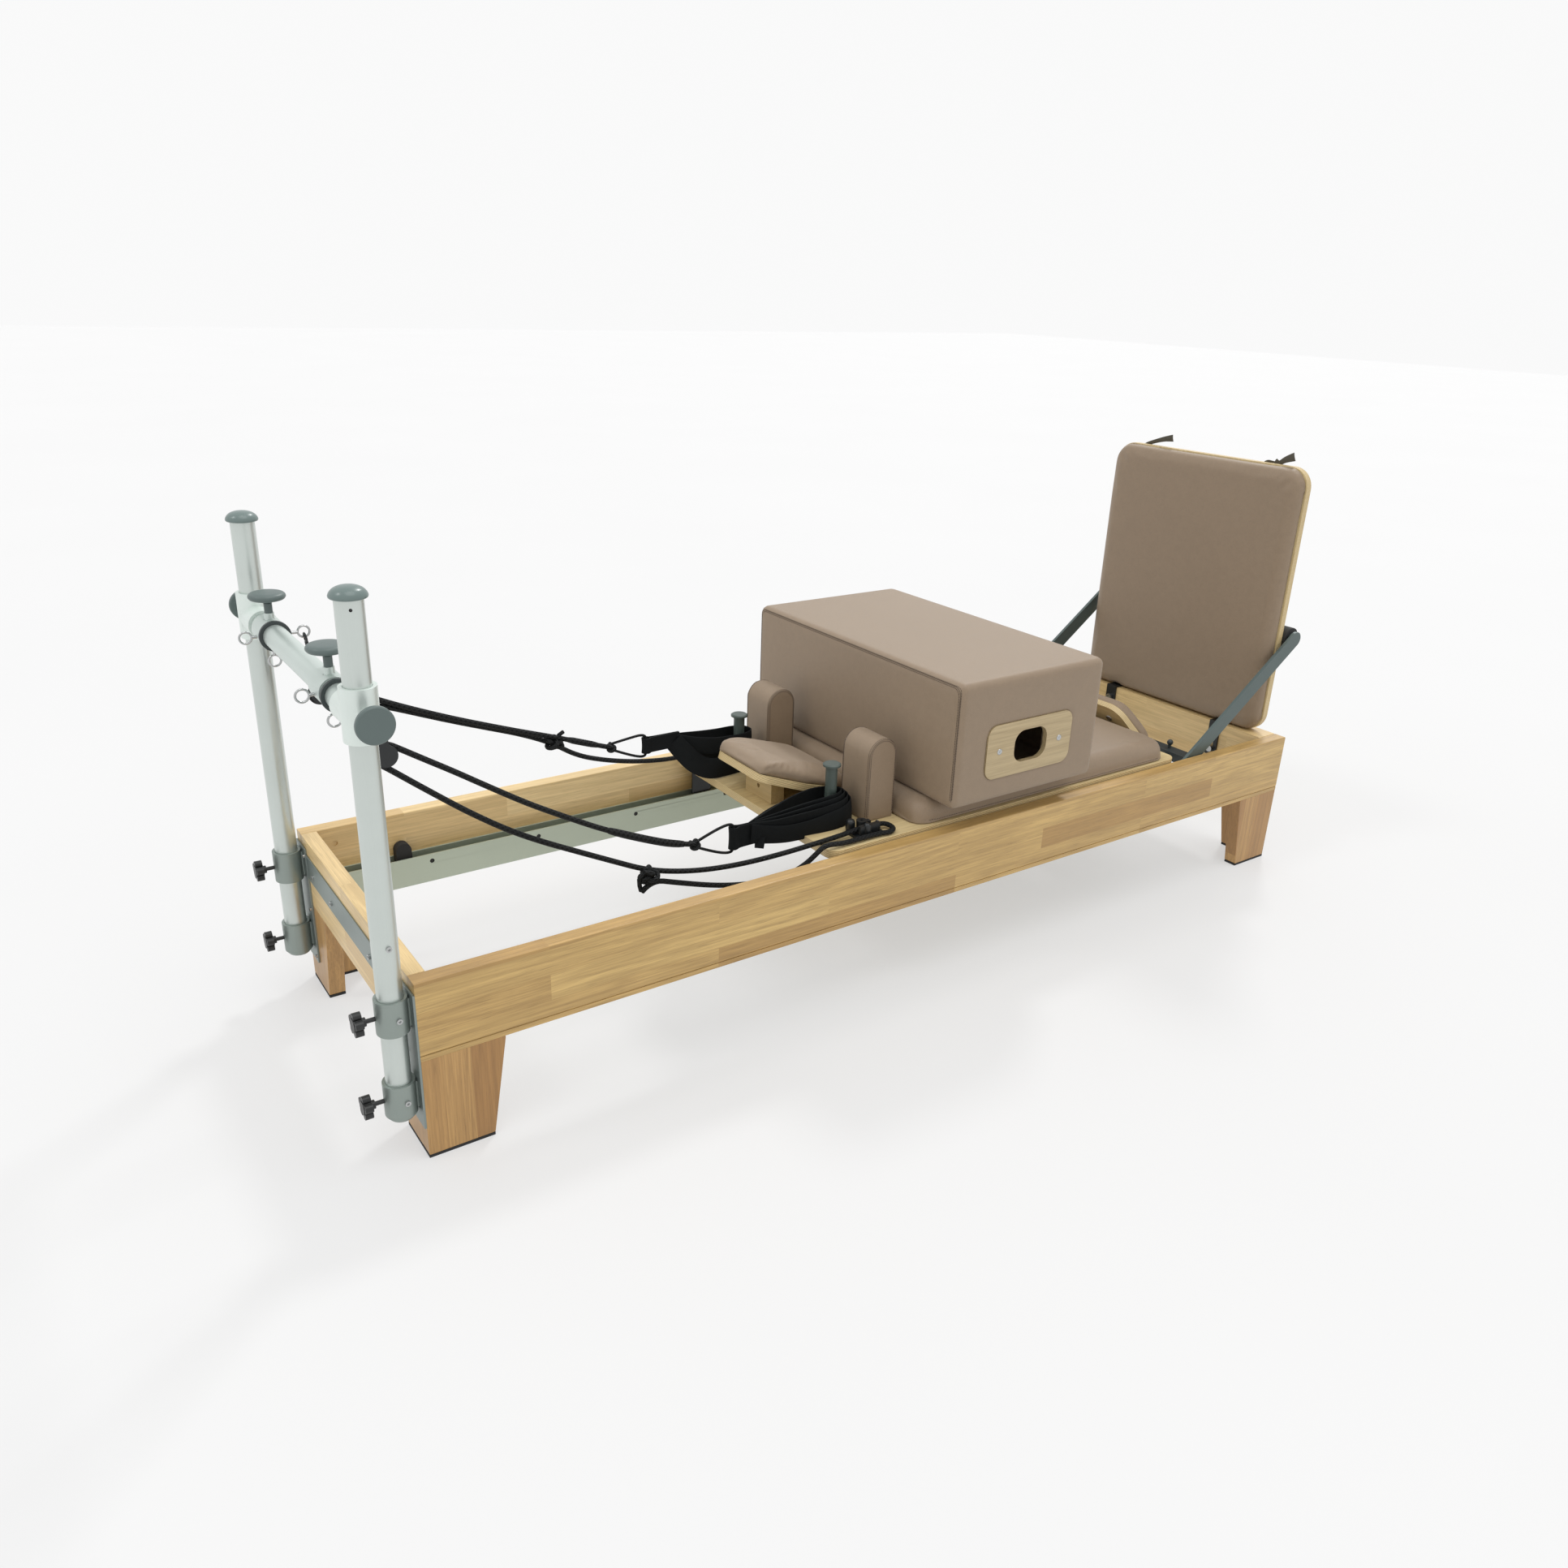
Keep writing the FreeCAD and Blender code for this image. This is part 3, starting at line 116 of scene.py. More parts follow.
sun("key", 35, 46, 0.95, 9)
sun("fill", 165, 52, 0.40, 12)
sun("top", -70, 74, 0.78, 40)

SKY, BACKDROP = 0.90, 0.952  # the white room's strength as a light, and as it is seen
world = bpy.data.worlds.new("studio")
scene.world = world
world.use_nodes = True
sky = world.node_tree
seen = sky.nodes.new("ShaderNodeLightPath").outputs["Is Camera Ray"]
strength = sky.nodes.new("ShaderNodeMapRange")
sky.links.new(seen, strength.inputs[0])
strength.inputs[3].default_value = SKY
strength.inputs[4].default_value = BACKDROP
sky.nodes["Background"].inputs["Color"].default_value = (1, 1, 1, 1)
sky.links.new(strength.outputs[0], sky.nodes["Background"].inputs["Strength"])
scene.view_settings.view_transform = "Standard"


# --- materials
class Graph:
    """A node material: calls add nodes, and an input is either a value or another node's output."""

    def __init__(self, name, rough, metal=0.0, more=None):
        self.material = bpy.data.materials.new(name)
        self.material.use_nodes = True
        self.tree = self.material.node_tree
        self.shader = self.tree.nodes["Principled BSDF"]
        self.fill(self.shader, {"Roughness": rough, "Metallic": metal, **(more or {})})
        self.coords = self.add("TexCoord")
        self.place = self.coords.outputs["Object"]

    def fill(self, node, values):
        for key, value in values.items():
            if isinstance(value, bpy.types.NodeSocket):
                self.tree.links.new(value, node.inputs[key])
            else:
                node.inputs[key].default_value = value

    def add(self, kind, values=None, **settings):
        node = self.tree.nodes.new("ShaderNode" + kind)
        for key, value in settings.items():
            setattr(node, key, value)
        self.fill(node, values or {})
        return node

    def math(self, operation, *values):
        return self.add("Math", dict(enumerate(values)), operation=operation).outputs[0]

    def scaled(self, value, factor):
        return self.math("MULTIPLY", value, factor)

    def plus(self, first, second):
        return self.math("ADD", first, second)

    def parts(self, vector):
        return self.add("SeparateXYZ", {0: vector}).outputs

    def axis(self, order, scale=(1, 1, 1)):
        """The rest position with its axes in another order, each scaled."""
        parts = self.parts(self.place)
        picked = [self.scaled(parts["xyz".index(letter)], factor) for letter, factor in zip(order, scale)]
        return self.add("CombineXYZ", dict(enumerate(picked))).outputs[0]

    def noise(self, vector, scale, detail=3, rough=0.55, distortion=0.0):
        return self.add("TexNoise", {"Vector": vector, "Scale": scale, "Detail": detail, "Roughness": rough,
                                     "Distortion": distortion}).outputs[0]

    def ramp(self, factor, *stops):
        node = self.add("ValToRGB", {0: factor})
        band = node.color_ramp
        while len(band.elements) < len(stops):
            band.elements.new(0.5)
        for element, (place, colour) in zip(band.elements, stops):
            element.position = place
            element.color = (*colour, 1)
        return node.outputs[0]

    def mix(self, factor, first, second):
        node = self.add("Mix", data_type="RGBA")
        colours = [(*value, 1) if isinstance(value, tuple) else value for value in (first, second)]
        self.fill(node, {0: factor, 6: colours[0], 7: colours[1]})
        return node.outputs[2]

    def bump(self, height, distance, strength, under=None):
        values = {"Height": height, "Distance": distance, "Strength": strength}
        if under is not None:
            values["Normal"] = under
        return self.add("Bump", values).outputs[0]

    def vector(self, operation, first, second, output=0):
        return self.add("VectorMath", {0: first, 1: second}, operation=operation).outputs[output]

    def stretch(self, vector, along, across):
        return self.vector("MULTIPLY", vector, (along, across, across))

    def span(self, factor, low, high):
        """A factor from 0 to 1 stretched from low to high."""
        return self.add("MapRange", {0: factor, 3: low, 4: high}).outputs[0]

    def over(self, base, factor, start, end, colour):
        """Another colour over base; start and end are pairs of a place in the factor and the amount there."""
        amount = self.ramp(factor, *((place, grey(value)) for place, value in (start, end)))
        return self.mix(amount, base, colour)

    def wave(self, factor, rate):
        return self.math("SINE", self.scaled(factor, rate))

    def finish(self, colour, rough=None, normal=None):
        values = {"Base Color": colour, "Roughness": rough, "Normal": normal}
        self.fill(self.shader, {key: value for key, value in values.items() if value is not None})
        return self.material


TURN = 2 * pi
PLY_PITCH = 0.0031  # two layers of plywood
TAPE_RIB, TAPE_WEFT = 0.0016, 0.0022  # the repeat of webbing across and along it
BRAID_PITCH, BRAID_STRANDS = 0.0105, 4


def grey(value):
    return (value, value, value)


def times(colour, factor, more=0.0):
    return tuple(min(1, part * factor + more) for part in colour)


def wood(name, order, stave, light, dark, shift=0.0, contrast=1.0):
    """Glued staves of varnished hardwood. order names the axes along the grain, across it and through it."""
    g = Graph(name, 0.42, more={"Coat Weight": 0.25, "Coat Roughness": 0.3})
    flat = g.axis(order)
    moved = g.vector("ADD", flat, (shift, shift * 0.37, 0))
    bricks = {"Vector": moved, "Scale": 1.0, "Brick Width": stave[0], "Row Height": stave[1], "Mortar Size": 0.0,
              "Bias": 0.0, "Color1": (0, 0, 0, 1), "Color2": (1, 1, 1, 1)}
    tone = g.add("TexBrick", bricks, offset=0.43, squash=1.0).outputs["Color"]
    apart = g.vector("MULTIPLY", tone, (7.3, 3.1, 1.7))
    local = g.vector("ADD", flat, apart)
    figure = g.noise(g.stretch(local, 1.1, 13), 1.0, 3, 0.5, 0.6)
    rings = g.wave(figure, 46)
    rings = g.span(g.math("MULTIPLY_ADD", rings, 0.5, 0.5), 0.0, 1.0)
    fibre = g.noise(g.stretch(local, 5, 260), 1.0, 5, 0.65)
    pores = g.noise(g.stretch(local, 22, 900), 1.0, 2, 0.5)
    base = g.ramp(tone, (0.0, light), (0.55, tuple(0.5 * (a + b) for a, b in zip(light, dark))), (1.0, dark))
    broad = g.noise(g.stretch(local, 0.8, 5), 1.0, 2, 0.5)
    base = g.mix(g.span(broad, 0.0, 0.35 * contrast), base, times(dark, 0.72))
    base = g.mix(g.scaled(rings, 0.22 * contrast), base, times(dark, 0.62))
    base = g.over(base, fibre, (0.40, 0.26 * contrast), (0.62, 0.0), times(dark, 0.5))
    base = g.over(base, pores, (0.30, 0.30 * contrast), (0.42, 0.0), times(dark, 0.32))
    rough = g.span(fibre, 0.34, 0.52)
    height = g.plus(g.scaled(fibre, 0.6), g.scaled(pores, 0.4))
    return g.finish(base, rough, g.bump(height, 0.0004, 0.35))


def plywood(name, order, through, light, dark):
    """Birch plywood: quiet grain on its faces and thin layers on its edges. through is its thickness direction."""
    g = Graph(name, 0.45, more={"Coat Weight": 0.15, "Coat Roughness": 0.35})
    flat = g.axis(order)
    figure = g.wave(g.noise(g.stretch(flat, 1.4, 11), 1.0, 3, 0.5, 0.8), 34)
    fibre = g.noise(g.stretch(flat, 7, 240), 1.0, 5, 0.65)
    face = g.mix(g.span(figure, 0.0, 0.22), light, dark)
    face = g.over(face, fibre, (0.36, 0.4), (0.62, 0.0), times(dark, 0.62))
    depth = g.vector("DOT_PRODUCT", g.place, through, "Value")
    wobble = g.scaled(g.noise(g.place, 40, 2), 0.0005)
    layer = g.wave(g.plus(depth, wobble), TURN / PLY_PITCH)
    edge = g.ramp(g.math("MULTIPLY_ADD", layer, 0.5, 0.5),
                  (0.0, times(dark, 0.46)), (0.28, dark), (0.6, light), (1.0, times(light, 1.12)))
    speck = g.noise(g.place, 900, 3, 0.6)
    edge = g.over(edge, speck, (0.36, 0.5), (0.5, 0.0), times(dark, 0.4))
    facing = g.vector("DOT_PRODUCT", g.coords.outputs["Normal"], through, "Value")
    on_face = g.math("GREATER_THAN", g.math("ABSOLUTE", facing), 0.7)
    colour = g.mix(on_face, edge, face)
    height = g.plus(g.scaled(fibre, 0.5), g.scaled(layer, 0.2))
    return g.finish(colour, g.span(fibre, 0.38, 0.58), g.bump(height, 0.0004, 0.35))


def leather(name, colour, deep):
    """Pebbled upholstery vinyl with a soft change of tone over each panel."""
    g = Graph(name, 0.46, more={"Specular IOR Level": 0.42, "Sheen Weight": 0.12, "Sheen Roughness": 0.5})
    drift = g.noise(g.place, 3.2, 3, 0.55)
    mottle = g.noise(g.place, 60, 4, 0.6)
    pebbles = {"Vector": g.place, "Scale": 620.0, "Randomness": 0.95}
    cells = g.add("TexVoronoi", pebbles, feature="DISTANCE_TO_EDGE").outputs["Distance"]
    pebble = g.ramp(cells, (0.0, grey(0.0)), (0.16, grey(0.72)), (0.5, grey(1.0)))
    crease = g.noise(g.place, 190, 4, 0.6, 0.7)
    base = g.mix(g.span(drift, 0.15, 0.75), colour, deep)
    base = g.over(base, mottle, (0.35, 0.22), (0.62, 0.0), times(deep, 0.82))
    # The grooves between the pebbles are darkened: painted shade.
    base = g.over(base, cells, (0.0, 0.42), (0.11, 0.0), times(deep, 0.55))
    rough = g.plus(g.span(pebble, 0.1, 0.0), g.span(mottle, 0.40, 0.53))
    fine = g.bump(pebble, 0.00022, 0.5)
    coarse = g.bump(crease, 0.0004, 0.22, fine)
    wave = g.bump(g.noise(g.place, 14, 2), 0.003, 0.12, coarse)
    return g.finish(base, rough, wave)


def metal(name, colour, rough, order="xyz", metallic=0.9, brushed=0.5, dirt=0.12):
    """Brushed or anodised metal, with fine lines along the first axis of order."""
    g = Graph(name, rough, metallic)
    lines = g.noise(g.axis(order, (3, 900, 900)), 1.0, 3, 0.6)
    haze = g.noise(g.place, 9, 4, 0.6)
    scuff = g.noise(g.axis(order, (40, 300, 300)), 1.0, 5, 0.7)
    base = g.mix(g.span(lines, 0.0, 0.22 * brushed), colour, times(colour, 0.7))
    base = g.over(base, haze, (0.35, dirt), (0.7, 0.0), times(colour, 0.62))
    base = g.over(base, scuff, (0.66, 0.0), (0.78, 0.3), times(colour, 1.25))
    finish = g.plus(g.span(lines, rough - 0.08, rough + 0.06), g.span(haze, -0.03, 0.05))
    return g.finish(base, finish, g.bump(lines, 0.0001, 0.25 * brushed))


def coated(name, colour, rough, grain=0.35, metallic=0.0):
    """Powder coat or moulded plastic: a fine orange-peel grain, dust and rubbed spots."""
    g = Graph(name, rough, metallic)
    peel = g.noise(g.place, 700.0, 2, 0.5)
    haze = g.noise(g.place, 17, 4, 0.65)
    rub = g.noise(g.place, 120, 5, 0.7)
    base = g.mix(g.span(haze, 0.0, 0.4), colour, times(colour, 0.7))
    base = g.over(base, rub, (0.62, 0.0), (0.76, 0.35), times(colour, 1.5, 0.02))
    finish = g.plus(g.span(rub, rough - 0.06, rough + 0.08), g.span(haze, -0.03, 0.04))
    return g.finish(base, finish, g.bump(peel, 0.00012, grain))


def spongy(name, colour):
    """Closed-cell foam or rubber: small pits all over."""
    g = Graph(name, 0.85)
    pits = g.add("TexVoronoi", {"Vector": g.place, "Scale": 800.0}).outputs["Distance"]
    soft = g.noise(g.place, 40, 3)
    base = g.mix(g.span(soft, 0.0, 0.6), colour, times(colour, 1.8, 0.008))
    return g.finish(base, g.span(pits, 0.95, 0.72), g.bump(pits, 0.0003, 0.6))


def woven(name, colour, highlight):
    """Webbing, from its UV in metres: U runs along the tape, V across it."""
    g = Graph(name, 0.8, more={"Specular IOR Level": 0.2})
    parts = g.parts(g.coords.outputs["UV"])
    ribs = g.wave(parts[1], TURN / TAPE_RIB)
    weft = g.math("SINE", g.math("MULTIPLY_ADD", parts[0], TURN / TAPE_WEFT, g.scaled(ribs, 0.9)))
    cloth = g.math("MULTIPLY_ADD", weft, 0.5, g.scaled(ribs, 0.5))
    fuzz_and_glint = g.noise(g.place, 420, 4, 0.7)
    # Raised threads and fuzz specks are lighter in the highlight colour: painted highlight.
    base = g.mix(g.span(cloth, 0.0, 0.55), colour, highlight)
    base = g.over(base, fuzz_and_glint, (0.55, 0.0), (0.8, 0.5), times(highlight, 1.7))
    return g.finish(base, g.span(fuzz_and_glint, 0.72, 0.92), g.bump(cloth, 0.0004, 0.7))


def braided(name, colour, highlight):
    """Braided rope, from its UV: U in metres along the rope, V once round it."""
    g = Graph(name, 0.62, more={"Specular IOR Level": 0.25})
    parts = g.parts(g.coords.outputs["UV"])
    along = g.scaled(parts[0], TURN / BRAID_PITCH)
    across = g.scaled(parts[1], TURN * BRAID_STRANDS)
    one, two = (g.math("SINE", g.math(way, along, across)) for way in ("ADD", "SUBTRACT"))
    strands = g.math("MAXIMUM", one, two)
    thread = g.wave(along, 9)
    lift = g.math("MULTIPLY_ADD", thread, 0.12, strands)
    fuzz_and_glint = g.noise(g.place, 500, 4, 0.7)
    # The strands' crowns and the fuzz specks are lighter in the highlight colour: painted highlight.
    base = g.over(colour, strands, (0.1, 0.0), (1.0, 0.9), highlight)
    base = g.over(base, fuzz_and_glint, (0.6, 0.0), (0.85, 0.5), times(highlight, 2))
    return g.finish(base, g.span(fuzz_and_glint, 0.5, 0.75), g.bump(lift, 0.0012, 0.8))


HONEY = (0.78, 0.545, 0.205)
AMBER = (0.45, 0.26, 0.080)
LEG_LIGHT = (0.59, 0.35, 0.122)
LEG_DARK = (0.38, 0.19, 0.056)
# The pale pair colours the end boards, and also the far rail, where its paleness is painted light.
HONEY_PALE = (0.86, 0.66, 0.34)
AMBER_PALE = (0.70, 0.475, 0.20)
PALE = (0.70, 0.56, 0.30)
TAN = (0.52, 0.36, 0.16)
TAUPE = (0.306, 0.226, 0.151)
UMBER = (0.250, 0.181, 0.118)

RAIL = wood("wood_rail", "xzy", (0.62, 0.0515), HONEY, AMBER, 0.31, 1.35)
# The far rail is the rail wood in paler colours: painted light on its lit face.
RAIL_FAR_LIT = wood("wood_rail_far_painted_light", "xzy", (0.55, 0.0515), HONEY_PALE, AMBER_PALE, 0.17, 1.2)
END_WOOD = wood("wood_end", "yzx", (0.5, 0.0515), HONEY_PALE, AMBER_PALE, 0.23, 1.2)
LEG_WOOD = wood("wood_leg", "zxy", (0.6, 0.052), LEG_LIGHT, LEG_DARK, 0.12, 1.3)
BLOCK_WOOD = wood("wood_block", "yzx", (0.3, 0.06), PALE, TAN, 0.4)
PLY = plywood("ply_deck", "xyz", (0, 0, 1), PALE, TAN)
PLY_HEADREST = plywood("ply_headrest", "yxz", headrest_up, PALE, TAN)
PLY_STOP = plywood("ply_stop", "yxz", stop_up, PALE, TAN)
PLY_JUMP = plywood("ply_jump", "zyx", (1, 0, 0), PALE, TAN)
PLY_GRIP = plywood("ply_grip", "xzy", (0, 1, 0), (0.47, 0.365, 0.205), (0.355, 0.255, 0.122))
LEATHER = leather("leather_taupe", TAUPE, UMBER)
POST_ALU = metal("alu_post", (0.61, 0.66, 0.63), 0.34, "zxy", 0.78)
TEE_ALU = metal("alu_tee", (0.75, 0.82, 0.78), 0.40, "zxy", 0.6)
BAR_ALU = metal("alu_bar", (0.60, 0.67, 0.635), 0.38, "yxz", 0.7)
TRACK_ALU = metal("alu_track", (0.49, 0.54, 0.44), 0.42, "xyz", 0.7)
FITTING = metal("fitting_cast", (0.30, 0.345, 0.32), 0.42, "zxy", 0.65, 0.3)
PLATE = metal("fitting_plate", (0.25, 0.29, 0.275), 0.42, "zxy", 0.65, 0.3)
CAP = coated("cap_grey", (0.145, 0.195, 0.186), 0.28, 0.1)
STEEL = metal("steel_bright", (0.50, 0.51, 0.51), 0.26, "xyz", 1.0, 0.4)
BLACK = coated("black_coat", (0.009, 0.011, 0.012), 0.34)
DARK = coated("dark_bracket", (0.035, 0.045, 0.046), 0.4)
BAR_GREY = coated("bar_grey_coat", (0.096, 0.128, 0.123), 0.36, 0.2, 0.35)
KNOB = coated("knob_black", (0.014, 0.015, 0.015), 0.38)
GREY_KNOB = coated("knob_grey", (0.105, 0.140, 0.134), 0.4, 0.3)
PEG = coated("peg_grey", (0.058, 0.080, 0.070), 0.42, 0.3)
RUBBER = spongy("rubber_black", (0.012, 0.012, 0.012))
FOAM = spongy("foam_black", (0.018, 0.018, 0.018))
WEBBING = woven("webbing_black", (0.0035, 0.0045, 0.005), (0.014, 0.017, 0.018))
TIE = woven("tie_olive", (0.085, 0.078, 0.062), (0.15, 0.14, 0.11))
ROPE = braided("rope_black", (0.0025, 0.003, 0.0035), (0.011, 0.0125, 0.013))
SHEAVE = coated("sheave_black", (0.010, 0.011, 0.012), 0.3)
WHEEL = coated("wheel_grey", (0.05, 0.055, 0.055), 0.45)
THREAD = coated("thread_brown", (0.095, 0.066, 0.045), 0.7)
# The seams' dark colour is painted shade.
SEAM_SHADE = coated("seam_painted_shade", (0.130, 0.094, 0.064), 0.75)
# Dark plastic for the track plugs, and also the painted shade of the post holes.
PLUG_AND_HOLE_SHADE = coated("plug_and_hole_shade", (0.008, 0.008, 0.008), 0.6)

SKIN = {name: material for material, names in (
    (RAIL, "side_rail_near"), (RAIL_FAR_LIT, "side_rail_far"), (END_WOOD, "head_end_board foot_end_board"),
    (LEG_WOOD, "leg_boards"), (BLOCK_WOOD, "headrest_block"), (PLY, "carriage_deck"),
    (PLY_HEADREST, "headrest_board"), (PLY_STOP, "foot_stop_board"), (PLY_GRIP, "box_handle_plates"),
    (PLY_JUMP, "jump_board"),
    (LEATHER, "carriage_pad shoulder_rests headrest_pad foot_stop_pad box_body jump_board_pad"),
    (POST_ALU, "riser_posts"), (BAR_ALU, "crossbar pulley_collars"), (TRACK_ALU, "tracks"),
    (FITTING, "post_clamps"), (TEE_ALU, "tee_fittings"), (PLATE, "end_plates"), (CAP, "post_caps"),
    (DARK, "spring_bar collar_rings"), (BLACK, "jump_board_brackets wheel_brackets pulley_blocks rope_cleats"),
    (STEEL, "frame_bolts eyebolts springs headrest_hinge headrest_leaf"), (BAR_GREY, "footbar_frame"),
    (PEG, "strap_pegs"), (RUBBER, "foot_pads track_bumpers"), (FOAM, "footbar_grip"),
    (WEBBING, "hand_strap_near hand_strap_far"), (ROPE, "rope_near rope_far rope_knots"),
) for name in names.split()}
SOFT_EDGE = {name: width for width, names in (
    (0.0015, "headrest_block"), (0.0018, "side_rail_near side_rail_far head_end_board foot_end_board"),
    (0.002, "box_handle_plates"), (0.0022, "leg_boards"), (0.003, "post_caps"),
) for name in names.split()}
FINE_EDGE = 0.0007


def skin_for(name):
    if name in SKIN:
        return SKIN[name]
    for word, material in (("star_knob", KNOB), ("disc_knob", GREY_KNOB), ("collar_knob", GREY_KNOB),
                           ("cleat_cam", KNOB), ("sheave", SHEAVE), ("wheelset", WHEEL)):
        if name.startswith(word):
            return material
    raise SystemExit("no material for node " + name)


def finish_node(name, obj):
    """A CAD node keeps its mesh; it gets its material, and small bevels that catch the light."""
    if not obj.material_slots:
        obj.data.materials.append(None)
    for place in obj.material_slots:
        place.material = skin_for(name)
    modify(obj, "weld", "WELD", merge_threshold=0.00002)
    modify(obj, "bevel", "BEVEL", width=SOFT_EDGE.get(name, FINE_EDGE), segments=2, limit_method="ANGLE",
           angle_limit=radians(40), use_clamp_overlap=True, harden_normals=False)
    modify(obj, "normals", "WEIGHTED_NORMAL", weight=60, keep_sharp=True)


for node_name, node_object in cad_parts.items():
    finish_node(node_name, node_object)


# --- mesh helpers
def add_piece(name, mesh, material, body=None):
    obj = placed(name, mesh)
    mesh.materials.clear()
    mesh.materials.append(material)
    if body:
        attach(obj, body)
    return obj


def mesh_from(name, points, faces, smooth=True, uvs=None):
    """A mesh from points and faces; uvs are pairs for every face's corners in turn."""
    mesh = bpy.data.meshes.new(name)
    mesh.from_pydata([tuple(p) for p in points], [], faces)
    mesh.update()
    if smooth:
        mesh.shade_smooth()
    if uvs:
        layer = mesh.uv_layers.new(name="tape")
        layer.data.foreach_set("uv", [value for pair in uvs for value in pair])
    return mesh


def baked(obj, name, remove=False):
    """The object's shown mesh, with its modifiers applied, as a new mesh."""
    depsgraph = bpy.context.evaluated_depsgraph_get()
    mesh = bpy.data.meshes.new_from_object(obj.evaluated_get(depsgraph), depsgraph=depsgraph)
    mesh.name = name
    if remove:
        bpy.data.objects.remove(obj)
    return mesh


def travel_along(points):
    """The distance travelled at each point of a line."""
    travel = [0.0]
    for a, b in zip(points, points[1:]):
        travel.append(travel[-1] + (b - a).length)
    return travel


def frames_along(points, closed=False):
    """A tangent and two cross directions at each point, turned as little as possible from one to the next."""
    count = len(points)
    result = []
    side = None
    for i in range(count):
        if closed:
            tangent = points[(i + 1) % count] - points[i - 1]
        else:
            tangent = points[min(i + 1, count - 1)] - points[max(i - 1, 0)]
        tangent.normalize()
        if side is None:
            start = Vector((0, 0, 1)) if abs(tangent.z) < 0.9 else Vector((0, 1, 0))
            side = tangent.cross(start).normalized()
        side = (side - tangent * side.dot(tangent)).normalized()
        result.append((tangent, side, tangent.cross(side)))
    return result


def circle(side, other, sides):
    return [side * cos(TURN * k / sides) + other * sin(TURN * k / sides) for k in range(sides)]


def ring_faces(rings, sides, closed=False):
    """Quads between rings of points, and a face over each open end."""
    faces = []
    for i in range(rings if closed else rings - 1):
        j = (i + 1) % rings
        faces += [(i * sides + k, i * sides + m, j * sides + m, j * sides + k)
                  for k, m in ((k, (k + 1) % sides) for k in range(sides))]
    if not closed:
        faces += [tuple(range(sides))[::-1], tuple((rings - 1) * sides + k for k in range(sides))]
    return faces


def tube(name, points, radius, sides=12, closed=False, taper=None):
    """A round tube along points, with a UV of metres along and turns round, and domed ends."""
    points = [Vector(p) for p in points]
    frames = frames_along(points, closed)
    travel = travel_along(points)
    rings = []
    for i, (point, (_, side, other)) in enumerate(zip(points, frames)):
        size = radius * (taper(i / (len(points) - 1)) if taper else 1.0)
        rings.append((point, size, side, other, travel[i]))
    if not closed:
        def end(ring, way, steps):
            point, size, *rest = ring
            return [(point + way * radius * out, size * part, *rest) for out, part in steps]

        steps = [(0.42, 0.35), (0.3, 0.75)]
        rings = end(rings[0], -frames[0][0], steps) + rings + end(rings[-1], frames[-1][0], steps[::-1])
    verts = [point + way * size for point, size, side, other, _ in rings for way in circle(side, other, sides)]
    reach = [ring[-1] for ring in rings]
    if closed:
        reach.append(reach[-1] + (points[0] - points[-1]).length)
    uvs = []
    for u0, u1 in zip(reach, reach[1:]):
        for v0, v1 in ((k / sides, (k + 1) / sides) for k in range(sides)):
            uvs += [(u0, v0), (u0, v1), (u1, v1), (u1, v0)]
    if not closed:
        uvs += [(reach[0], 0.0)] * sides + [(reach[-1], 0.0)] * sides
    return mesh_from(name, verts, ring_faces(len(rings), sides, closed), uvs=uvs)


def nurbs_line(route):
    """Points of the smooth NURBS line that a rope's route, in millimetres, controls."""
    data = bpy.data.curves.new("route", "CURVE")
    data.dimensions = "3D"
    spline = data.splines.new("NURBS")
    spline.points.add(len(route) - 1)
    for point, place in zip(spline.points, route):
        point.co = (*bed_mm(place), 1)
    spline.order_u = 3
    spline.use_endpoint_u = True
    data.resolution_u = 6
    return [v.co.copy() for v in baked(placed("route", data), "route", remove=True).vertices]


def merge(meshes, name):
    """Several meshes as one, keeping their UVs."""
    work = bmesh.new()
    for mesh in meshes:
        work.from_mesh(mesh)
    joined = bpy.data.meshes.new(name)
    work.to_mesh(joined)
    work.free()
    joined.shade_smooth()
    return joined


# --- ropes
# Routes over the pulleys, to the straps and to the cleats, from the head end on: X, Y and Z in millimetres.
NEAR_OVER_PULLEY = [
    (253, -179, 578), (216, -178, 602.5), (159, -177, 641.5), (104, -176, 677), (74, -176, 697),
    (47.3, -176, 713.9), (32.6, -176, 711.4), (23.7, -176, 699.6), (25.4, -176, 684.8), (46.5, -176, 668.5),
    (88, -178, 634), (135, -182, 596), (180, -188, 561), (210, -192, 540),
]
NEAR_TO_STRAP = [
    (253, -179, 578), (290, -180, 553), (371, -182, 506), (446, -184, 464), (543, -186, 420), (600, -187, 398),
    (643, -185, 387),
]
NEAR_LOOP = [
    (643, -187, 389), (692, -184, 405), (736, -182, 412), (744, -182, 398), (743, -182, 356), (737, -182, 342),
    (696, -180, 354), (648, -178, 378),
]
NEAR_TO_CLEAT = [
    (210, -192, 540), (240, -196, 519), (300, -203, 484), (370, -211, 449), (440, -217, 414), (520, -222, 374),
    (606, -238, 357), (696, -255, 354), (790, -270, 360), (880, -282, 370), (950, -285, 375.5), (1000, -284, 379),
    (1032, -284, 378), (1050, -279, 376), (1072, -284, 374), (1073, -310, 372), (1052, -318, 371),
    (1030, -312, 372), (980, -313, 372), (930, -313, 371.5), (885, -311, 378), (863, -307, 358), (841, -302, 339),
    (806, -292, 320), (753, -276, 311), (697, -262, 313), (642, -250, 322), (570, -240, 343), (520, -234, 359),
    (499, -232, 338),
]
